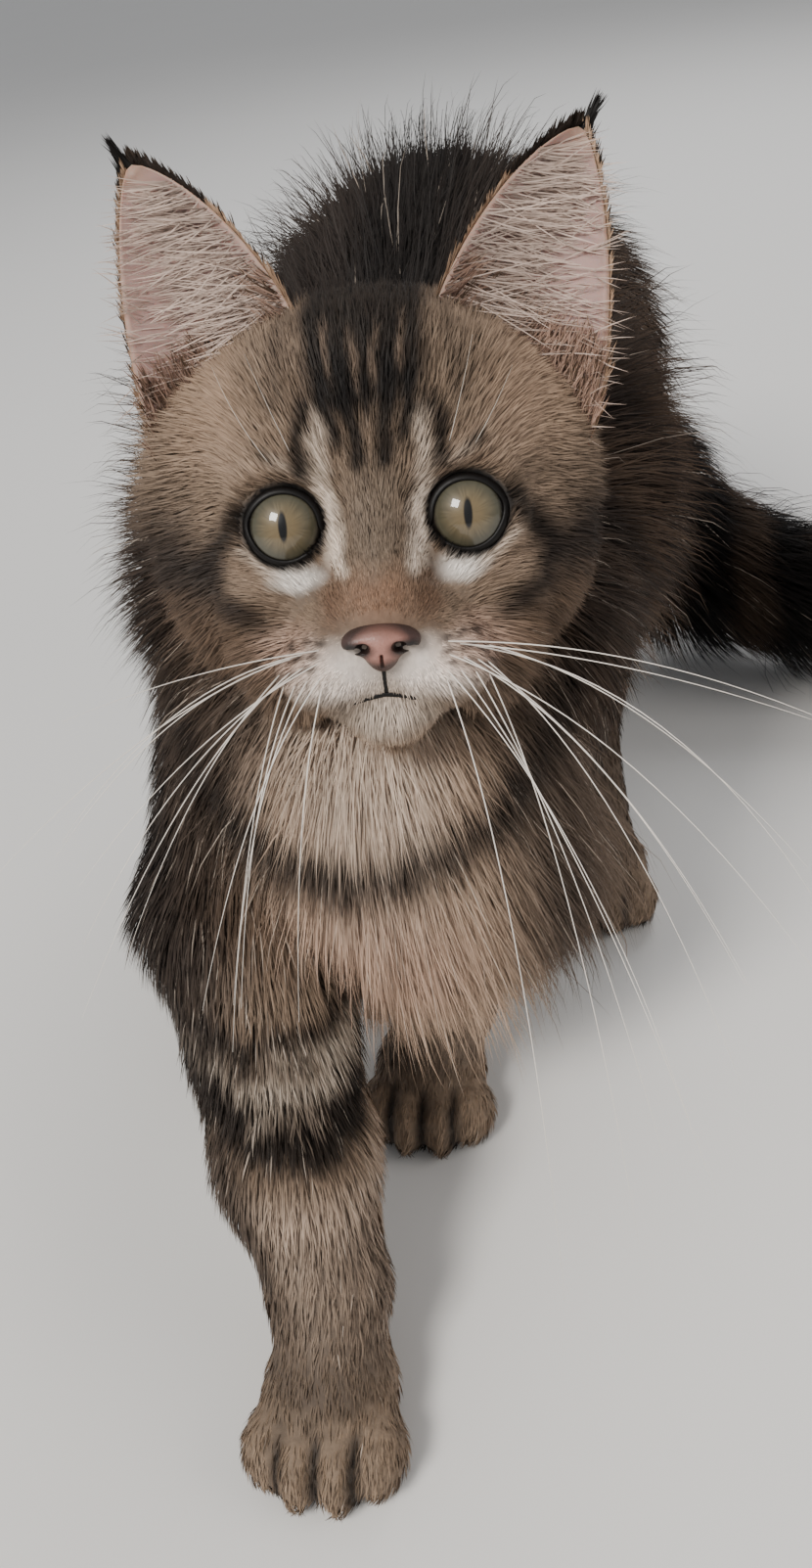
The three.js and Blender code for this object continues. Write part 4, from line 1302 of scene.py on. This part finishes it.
class Ear:
    """A cupped leaf on the head, given by how far up it and how far across it a point is."""

    def __init__(self, side):
        inner, outer, tip = (np.array([side * v[0], v[1], v[2]]) for v in (EAR_INNER, EAR_OUTER, EAR_TIP))
        self.low = (inner + outer) / 2
        self.rise = tip - self.low
        self.across = outer - inner
        self.up = self.rise / np.linalg.norm(self.rise)
        back = np.cross(self.across, self.rise)
        back /= np.linalg.norm(back)
        self.back = -back if back[2] > 0 else back
        self.outward = unit(self.across)

    def at(self, t, a, depth):
        half = 0.5 * (1 - t**1.9) ** 0.8 + 0.02
        cup = EAR_CUP * (1 - a * a) * (1 - t) ** 0.7
        p = self.low + t[..., None] * self.rise + (a * half)[..., None] * self.across
        p = p - EAR_SINK * (1 - t)[..., None] * self.up
        return p + (cup + depth)[..., None] * self.back

    def normal(self, t, a):
        e = 0.01
        t, a = np.clip(t, 0.02, 0.94), np.clip(a, -0.96, 0.96)
        zero = np.zeros_like(t)
        du = self.at(t + e, a, zero) - self.at(t - e, a, zero)
        dv = self.at(t, a + e, zero) - self.at(t, a - e, zero)
        n = unit(np.cross(du, dv))
        return np.where((n @ self.back)[..., None] < 0, -n, n)


def ear_colours(t, a, inside_face):
    pink = light(172, 140, 132)
    colour = np.tile(pink, (len(t), 1))
    # Painted shade deep in the ear's cup, near its base
    cup_shade = below(t, 0.3, 0.4) * below(np.abs(a - 0.1), 0.5, 0.5)
    colour = paint(colour, light(128, 84, 78), cup_shade * 0.6)
    edge = above(np.abs(a), 0.95, 0.1)
    colour = paint(colour, light(158, 128, 108), np.maximum(edge, above(t, 0.95, 0.06)) * 0.8)
    outer = np.tile(BROWN, (len(t), 1))
    outer = paint(outer, BLACK, np.maximum(above(t, 0.6, 0.5) * 0.8, edge * 0.8))
    return np.where(inside_face[:, None], colour, outer)


class KITTEN_OT_ears(bpy.types.Operator):
    """Make both ears, cupped and open to the front"""

    bl_idname = "kitten.ears"
    bl_label = "Ears"

    def execute(self, context):
        rows, columns = 34, 26
        for side, name in SIDES:
            ear = Ear(side)
            t = np.linspace(0, 1, rows)[:, None]
            a = np.linspace(-1, 1, columns)[None]
            t, a = np.broadcast_arrays(t, a)
            thick = 0.45 + 0.9 * (1 - t) * (1 - np.abs(a) ** 3)
            front, rear = ear.at(t, a, -thick), ear.at(t, a, thick)[:, ::-1]
            rings = np.concatenate([front, rear], 1)
            rings = np.concatenate([rings, np.repeat(rings[-1:].mean(1, keepdims=True), 2 * columns, 1)])
            points, quads = revolve_grid(rings)
            level = np.concatenate([t, t], 1)
            across = np.concatenate([a, a[:, ::-1]], 1)
            face = np.concatenate([np.ones_like(a), np.zeros_like(a)], 1)
            level, across, face = (np.concatenate([v, v[-1:]]).ravel() for v in (level, across, face))
            tint = ear_colours(level, across * side, face > 0.5)
            world, finish, nodes = HEAD.world(points), material("ear skin"), ["ear_" + name]
            piece = make_piece("ear_skin_" + name, world, quads, finish, tint=tint, replaces=nodes)
            recalculate(piece)
        return {"FINISHED"}


def recalculate(piece):
    """Turns all of a closed piece's faces outwards."""
    made = bmesh.new()
    made.from_mesh(piece.data)
    bmesh.ops.remove_doubles(made, verts=made.verts, dist=1e-6)
    bmesh.ops.recalc_face_normals(made, faces=made.faces)
    made.to_mesh(piece.data)
    made.free()


class KITTEN_OT_coat(bpy.types.Operator):
    """Grow the coat on the head, body, legs and tail"""

    bl_idname = "kitten.coat"
    bl_label = "Coat"

    def execute(self, context):
        settings = context.scene.kitten_coat
        own = skin()
        middle_shares = own.shares[own.corners].mean(1)
        part = middle_shares.argmax(1)
        head = HEAD.local(own.middles)
        body = BODY.local(own.middles)

        def is_part(*starts):
            return np.isin(part, part_numbers(*starts))

        face = is_part("head") & (head[:, 2] > -27)
        dense = 1 + 1.6 * np.exp(-((np.linalg.norm(head - np.array([0, -16, 8]), axis=1) / 22) ** 2))
        chest = is_part("torso") & (body[:, 1] < 150)
        rest = is_part("torso") & ~chest
        top = body[:, 2] > 138
        # name, where it grows, how many hairs, stations along each, patch that clumps, pull of a clump, slot
        plan = [
            ("coat_face", face * dense, 66000, 2, 1.8, 0.3, "coat_buff"),
            ("coat_head", is_part("head") & ~face, 24000, 3, 3.2, 0.5, "coat_buff"),
            ("coat_neck", is_part("neck"), 19000, 4, 3.6, 0.5, "coat_buff"),
            ("coat_chest", chest, 28000, 4, 4.0, 0.5, "coat_buff"),
            ("coat_back", rest & top, 25000, 4, 6.0, 0.6, "coat_dark"),
            ("coat_flank_left", rest & ~top & (body[:, 0] > 0), 17000, 4, 6.0, 0.6, "coat_brown"),
            ("coat_flank_right", rest & ~top & (body[:, 0] <= 0), 17000, 4, 6.0, 0.6, "coat_brown"),
            ("coat_forelegs", is_part("fore"), 39000, 3, 2.4, 0.45, "coat_buff"),
            ("coat_hindlegs", is_part("thigh", "shank", "hind"), 28000, 3, 4.0, 0.5, "coat_brown"),
            ("coat_tail", is_part("tail"), 17000, 4, 6.5, 0.6, "coat_dark"),
        ]
        for number, (name, where, count, steps, patch, pull, slot) in enumerate(plan):
            rng = np.random.default_rng(settings.seed + number)
            count = int(count * settings.fullness)
            self.grow(own, name, where.astype(float), count, steps, patch, pull, slot, settings, rng)
        return {"FINISHED"}

    def grow(self, own, name, density, count, steps, patch, pull, slot, settings, rng):
        where = own.scatter(density, count, rng)
        roots, normals = own.at(own.points, where), unit(own.at(own.normals, where))
        shares, lie = own.at(own.shares, where), unit(own.at(own.lie, where))
        length, lift, width = own.at(own.growth, where).T
        keep = self.clear_of_face(roots)
        roots, normals, shares, lie = roots[keep], normals[keep], shares[keep], lie[keep]
        length, lift, width = length[keep], lift[keep], width[keep]
        count = len(roots)
        long_coat = np.clip((length - 14) / 12, 0, 1)
        stray = (rng.random(count) < STRAY_SHARE) * long_coat
        # The crest of loose hair on the back, which stands up behind the ears in the photo
        on_back = (name == "coat_back") * above(BODY.local(roots)[:, 1], 190, 40)
        on_back = on_back * np.clip(normals[:, 2] * 2, 0, 1)
        length = length * settings.length * rng.uniform(*LENGTH_RANGE, count)
        length = length * (1 + (STRAY_EXTRA + CREST_EXTRA * on_back) * stray)
        lift = lift * (1 + 0.6 * stray)
        width = width * rng.uniform(*WIDTH_RANGE, count) * (1 - 0.45 * stray)
        spread = 0.16 + 0.1 * long_coat.mean()
        droop = 0.25 * float(long_coat.mean())
        paths = hair_paths(roots, normals, lie, length, lift, droop, steps, spread, rng)
        paths = clump_paths(paths, roots, patch, pull, rng)
        shade = rng.uniform(*SHADE_RANGE, count)[:, None]
        colours = np.stack([markings(paths[:, i], shares) * shade for i in range(steps + 1)], 1)
        torso = shares[:, PART_NAMES.index("torso")]
        front = shares[:, part_numbers("neck", "foreleg")].sum(1) + (slot == "coat_buff") * torso
        guard = rng.random(count) < GUARD_SHARE * (name != "coat_face") + FRONT_GUARD_SHARE * front
        colours[guard] = colours[guard] * 0.5 + CREAM * 0.4
        colours[:, 0] *= ROOT_SHADE
        colours[rng.random(count) < DARK_TIP_SHARE, -1] *= 0.4
        uv = unwrap(roots, shares)
        points, faces, tint, shading, uv = hair_mesh(paths, normals, width, colours, uv, rng)
        make_piece(name, points, faces, material("coat"), tint=tint, shading=shading, uv=uv)

    def clear_of_face(self, roots):
        """False where the eyes, the nose leather or the lips leave no room for hair."""
        local = HEAD.local(roots)
        keep = np.ones(len(roots), bool)
        for side in (1, -1):
            q = local - eye_at(side)
            keep &= ~((np.hypot(q[:, 0], q[:, 1]) < LID_OPENING + 0.15) & (q[:, 2] > 0))
        nose = np.hypot(local[:, 0] / 6.2, (local[:, 1] + 20.6) / 4.4)
        keep &= ~((nose < 1) & (local[:, 2] > 6))
        keep &= ~(roots[:, 2] < 0.6)
        return keep


class KITTEN_OT_ear_hair(bpy.types.Operator):
    """Grow the short hair behind the ears, the long pale hair in them and the dark tufts at their tips"""

    bl_idname = "kitten.ear_hair"
    bl_label = "Ear hair"

    def execute(self, context):
        rng = np.random.default_rng(context.scene.kitten_coat.seed + 50)
        for side, name in SIDES:
            ear = Ear(side)
            sets = [
                self.behind(ear, rng, 5200),
                self.inside(ear, rng, 1000),
                self.base(ear, rng, 1700),
                self.rim(ear, rng, 1300),
                self.tuft(ear, rng, 150),
            ]
            starts = np.cumsum([0] + [len(made[0]) for made in sets])
            sets = [(made[0], made[1] + start, *made[2:]) for made, start in zip(sets, starts)]
            points, faces, tint, shading, uv = (np.concatenate(v) for v in zip(*sets))
            uv = uv + np.array([0.75 if side > 0 else 0.88, 0.78])
            finish = material("coat")
            make_piece("coat_ear_" + name, points, faces, finish, tint=tint, shading=shading, uv=uv)
        return {"FINISHED"}

    def strips(self, t, a, roots, normals, lie, colours, length, lift, width, spread, rng):
        """Hairs at places of the ear: t up it and a across it."""
        roots, normals, lie = HEAD.world(roots), HEAD.turn(normals), HEAD.turn(lie)
        lie = unit(lie - (lie * normals).sum(1, keepdims=True) * normals * 0.9)
        paths = hair_paths(roots, normals, lie, length, lift, 0.0, 3, spread, rng)
        paths = clump_paths(paths, roots, 2.6, 0.35, rng)
        uv = np.stack([0.01 + 0.1 * (a * 0.5 + 0.5), 0.01 + 0.18 * np.clip(t, 0, 1)], 1)
        shade = rng.uniform(0.8, 1.2, len(t))[:, None]
        # Painted shade towards the roots: each ear hair is darker at its root and a little lighter at its tip
        root_to_tip_shade = np.linspace(0.65, 1.1, 4)[None, :, None]
        width = np.full(len(t), width)
        return hair_mesh(paths, normals, width, (colours * shade)[:, None] * root_to_tip_shade, uv, rng)

    def behind(self, ear, rng, count):
        t, a = rng.uniform(0.02, 0.99, count) ** 0.8, rng.uniform(-1, 1, count)
        roots, normals = ear.at(t, a, np.full(count, 0.6)), ear.normal(t, a)
        lie = np.tile(ear.up, (count, 1))
        colours = ear_colours(t, a, np.zeros(count, bool))
        length = rng.uniform(3.5, 5.5, count) + 2 * (t < 0.25)
        return self.strips(t, a, roots, normals, lie, colours, length, 18.0, 0.45, 0.2, rng)

    def inside(self, ear, rng, count):
        t, a = rng.uniform(0.04, 0.86, count), -0.98 + rng.random(count) ** 2.2 * 0.9
        spread_out = rng.random(count) < 0.35
        a = np.where(spread_out, rng.uniform(-0.9, 0.85, count), a)
        roots, normals = ear.at(t, a, np.full(count, -0.6)), -ear.normal(t, a)
        lie = ear.outward * 1.0 + ear.up * (rng.normal(0.28, 0.2, count) + 0.3 * t)[:, None]
        colours = np.tile(light(206, 184, 170), (count, 1))
        length = rng.uniform(16, 32, count) * (1.05 - 0.62 * t) * np.where(spread_out, 0.6, 1)
        lift = rng.uniform(14, 42, count)
        return self.strips(t, a, roots, normals, lie, colours, length, lift, 0.24, 0.2, rng)

    def base(self, ear, rng, count):
        t, a = rng.random(count) ** 1.5 * 0.34, rng.uniform(-1, 0.98, count)
        roots, normals = ear.at(t, a, np.full(count, -0.5)), -ear.normal(t, a)
        lie = ear.outward * rng.normal(0.45, 0.25, count)[:, None] + ear.up
        colours = np.where((rng.random(count) < 0.3)[:, None], BROWN, light(178, 146, 128))
        length = rng.uniform(7, 13, count) * (1.1 - 1.2 * t)
        return self.strips(t, a, roots, normals, lie, colours, length, 38.0, 0.3, 0.3, rng)

    def rim(self, ear, rng, count):
        t, edge = rng.uniform(0.03, 1.0, count), rng.choice([-1.0, 1.0], count)
        roots, normals = ear.at(t, edge * 0.985, np.zeros(count)), -ear.normal(t, edge * 0.9)
        lie = ear.up + edge[:, None] * 0.3 * ear.outward + 0.35 * ear.back
        colours = np.where((t > 0.68)[:, None] & (edge < 0)[:, None], DARK, light(176, 146, 120))
        length = rng.uniform(1.8, 3.4, count) + 3 * (t < 0.3)
        return self.strips(t, edge, roots, normals, lie, colours, length, 10.0, 0.26, 0.3, rng)

    def tuft(self, ear, rng, count):
        t, a = 1 - rng.random(count) ** 2 * 0.1, rng.uniform(-0.5, 0.5, count)
        roots, normals = ear.at(t, a, np.zeros(count)), -ear.normal(t, a)
        lie = np.tile(ear.up + (0.25 * ear.outward + 0.1 * ear.back), (count, 1))
        colours = np.tile(BLACK, (count, 1))
        length = rng.uniform(3.5, 9, count)
        return self.strips(t, a, roots, normals, lie, colours, length, 4.0, 0.34, 0.09, rng)


def whisker_tree():
    """Turns lines of points into long, tapered, round hairs."""
    tree = bpy.data.node_groups.new("Whiskers", "GeometryNodeTree")
    wanted = (("Geometry", "Geometry"), ("Thickness", "Float"), ("Sides", "Int"), ("Material", "Material"))
    add_sockets(tree, "INPUT", wanted)
    add_sockets(tree, "OUTPUT", wanted[:1])
    inputs, outputs = tree.nodes.new("NodeGroupInput"), tree.nodes.new("NodeGroupOutput")
    curve = tree.nodes.new("GeometryNodeMeshToCurve")
    factor = tree.nodes.new("GeometryNodeSplineParameter")
    taper = tree.nodes.new("ShaderNodeMapRange")
    taper.inputs["To Min"].default_value = 1.0
    taper.inputs["To Max"].default_value = 0.2
    size = node(tree, "ShaderNodeMath", operation="MULTIPLY")
    fine = node(tree, "GeometryNodeInputNamedAttribute", data_type="FLOAT")
    fine.inputs["Name"].default_value = "fineness"
    own = node(tree, "ShaderNodeMath", operation="MULTIPLY")
    radius = tree.nodes.new("GeometryNodeSetCurveRadius")
    profile = tree.nodes.new("GeometryNodeCurvePrimitiveCircle")
    profile.inputs["Radius"].default_value = 1.0
    sweep = tree.nodes.new("GeometryNodeCurveToMesh")
    sweep.inputs["Fill Caps"].default_value = True
    realize = tree.nodes.new("GeometryNodeRealizeInstances")
    smooth = tree.nodes.new("GeometryNodeSetShadeSmooth")
    finish = tree.nodes.new("GeometryNodeSetMaterial")
    # Where the sweep has an input for its size, it is given there too
    scale = [(size, 0, sweep, "Scale")] if "Scale" in sweep.inputs else []
    join(
        tree,
        [
            (inputs, "Geometry", curve, 0),
            (factor, "Factor", taper, "Value"),
            (taper, "Result", own, 0),
            (fine, "Attribute", own, 1),
            (own, 0, size, 0),
            (inputs, "Thickness", size, 1),
            (curve, 0, radius, "Curve"),
            (size, 0, radius, "Radius"),
            (inputs, "Sides", profile, "Resolution"),
            (radius, 0, sweep, "Curve"),
            (profile, 0, sweep, "Profile Curve"),
            *scale,
            (sweep, 0, realize, 0),
            (realize, 0, smooth, 0),
            (smooth, 0, finish, "Geometry"),
            (inputs, "Material", finish, "Material"),
            (finish, 0, outputs, "Geometry"),
        ],
    )
    return tree


class KITTEN_OT_whiskers(bpy.types.Operator):
    """Make the long whiskers of the muzzle and the few over the eyes"""

    bl_idname = "kitten.whiskers"
    bl_label = "Whiskers"

    def execute(self, context):
        settings = context.scene.kitten_whiskers
        rng = np.random.default_rng(5)
        lines = []
        for side in (1, -1):
            for i in range(WHISKERS):
                low = i / (WHISKERS - 1)
                x = side * (11 + 2.4 * (i % 4) + rng.uniform(-0.5, 0.5))
                y = -21.5 - 1.9 * (i // 4) - 0.6 * (i % 4)
                start = face_point(x, y, -0.6)
                away = np.array([side * (1.0 - 0.72 * low), 0.02 - 0.9 * low, 0.62 - 0.2 * low])
                reach = 0.55 + 0.25 * math.sin(math.pi * min(1, low + 0.15)) if side < 0 else 0.95
                length = settings.length / MM * reach * rng.uniform(0.82, 1.0)
                lines.append(self.line(start, away, length, 0.12 + 0.5 * low + 0.3 * rng.random(), rng))
            for k in range(BROW_WHISKERS):
                start = face_point(side * (14 + 4 * k), 11.5 - k, -0.5)
                away = np.array([side * (0.3 + 0.3 * k), 0.9, 0.7])
                lines.append(self.line(start, away, rng.uniform(16, 24), -0.1, rng))
        points = np.concatenate(lines)
        edges, start = [], 0
        for line in lines:
            edges += [(start + k, start + k + 1) for k in range(len(line) - 1)]
            start += len(line)
        mesh = bpy.data.meshes.new("whisker lines")
        mesh.from_pydata(((HEAD.world(points) + SHIFT) * MM).tolist(), edges, [])
        fine = [1.0 if i % (WHISKERS + BROW_WHISKERS) < WHISKERS else 0.45 for i in range(len(lines))]
        fineness = np.repeat(fine, [len(line) for line in lines]).astype(np.float32)
        mesh.attributes.new("fineness", "FLOAT", "POINT").data.foreach_set("value", fineness)
        source = bpy.data.objects.new("whisker lines", mesh)
        context.scene.collection.objects.link(source)
        modifier = source.modifiers.new("Whiskers", "NODES")
        modifier.node_group = whisker_tree()
        values = {"Thickness": settings.thickness, "Sides": 6, "Material": material("whisker")}
        for socket in modifier.node_group.interface.items_tree:
            if socket.in_out == "INPUT" and socket.name in values:
                modifier[socket.identifier] = values[socket.name]
        ready = source.evaluated_get(context.evaluated_depsgraph_get())
        made = bpy.data.meshes.new_from_object(ready)
        source.modifiers.remove(modifier)
        bpy.data.objects.remove(source)
        if not made.materials:
            made.materials.append(material("whisker"))
        show_piece("whiskers", made)
        return {"FINISHED"}

    def line(self, start, away, length, sag, rng):
        away = away / np.linalg.norm(away)
        t = np.linspace(0, 1, 18)[:, None]
        bend = np.array([0, -1, -0.25]) * sag + rng.normal(0, 0.05, 3)
        return start + away * length * t + bend * length * t**2.2


class KITTEN_PT_panel(bpy.types.Panel):
    """The kitten's pieces and their sizes"""

    bl_idname = "KITTEN_PT_panel"
    bl_label = "Kitten"
    bl_space_type = "VIEW_3D"
    bl_region_type = "UI"
    bl_category = "Kitten"

    def draw(self, context):
        for operator in OPERATORS:
            self.layout.operator(operator.bl_idname)
        for name in SETTINGS:
            own = getattr(context.scene, name)
            for key in own.__annotations__:
                self.layout.prop(own, key)


OPERATORS = [
    KITTEN_OT_stage,
    KITTEN_OT_skin,
    KITTEN_OT_eyes,
    KITTEN_OT_nose,
    KITTEN_OT_ears,
    KITTEN_OT_coat,
    KITTEN_OT_ear_hair,
    KITTEN_OT_whiskers,
]
SETTINGS = {
    "kitten_coat": KittenCoatSettings,
    "kitten_eyes": KittenEyeSettings,
    "kitten_whiskers": KittenWhiskerSettings,
    "kitten_stage": KittenStageSettings,
}


def register():
    for made in [*SETTINGS.values(), *OPERATORS, KITTEN_PT_panel]:
        bpy.utils.register_class(made)
    for name, made in SETTINGS.items():
        setattr(bpy.types.Scene, name, bpy.props.PointerProperty(type=made))


def unregister():
    for name in SETTINGS:
        delattr(bpy.types.Scene, name)
    for made in reversed([*SETTINGS.values(), *OPERATORS, KITTEN_PT_panel]):
        bpy.utils.unregister_class(made)


def main():
    register()
    bpy.ops.kitten.stage()
    bpy.ops.kitten.skin()
    bpy.ops.kitten.eyes()
    bpy.ops.kitten.nose()
    bpy.ops.kitten.ears()
    bpy.ops.kitten.coat()
    bpy.ops.kitten.ear_hair()
    bpy.ops.kitten.whiskers()


if __name__ == "__main__":
    main()
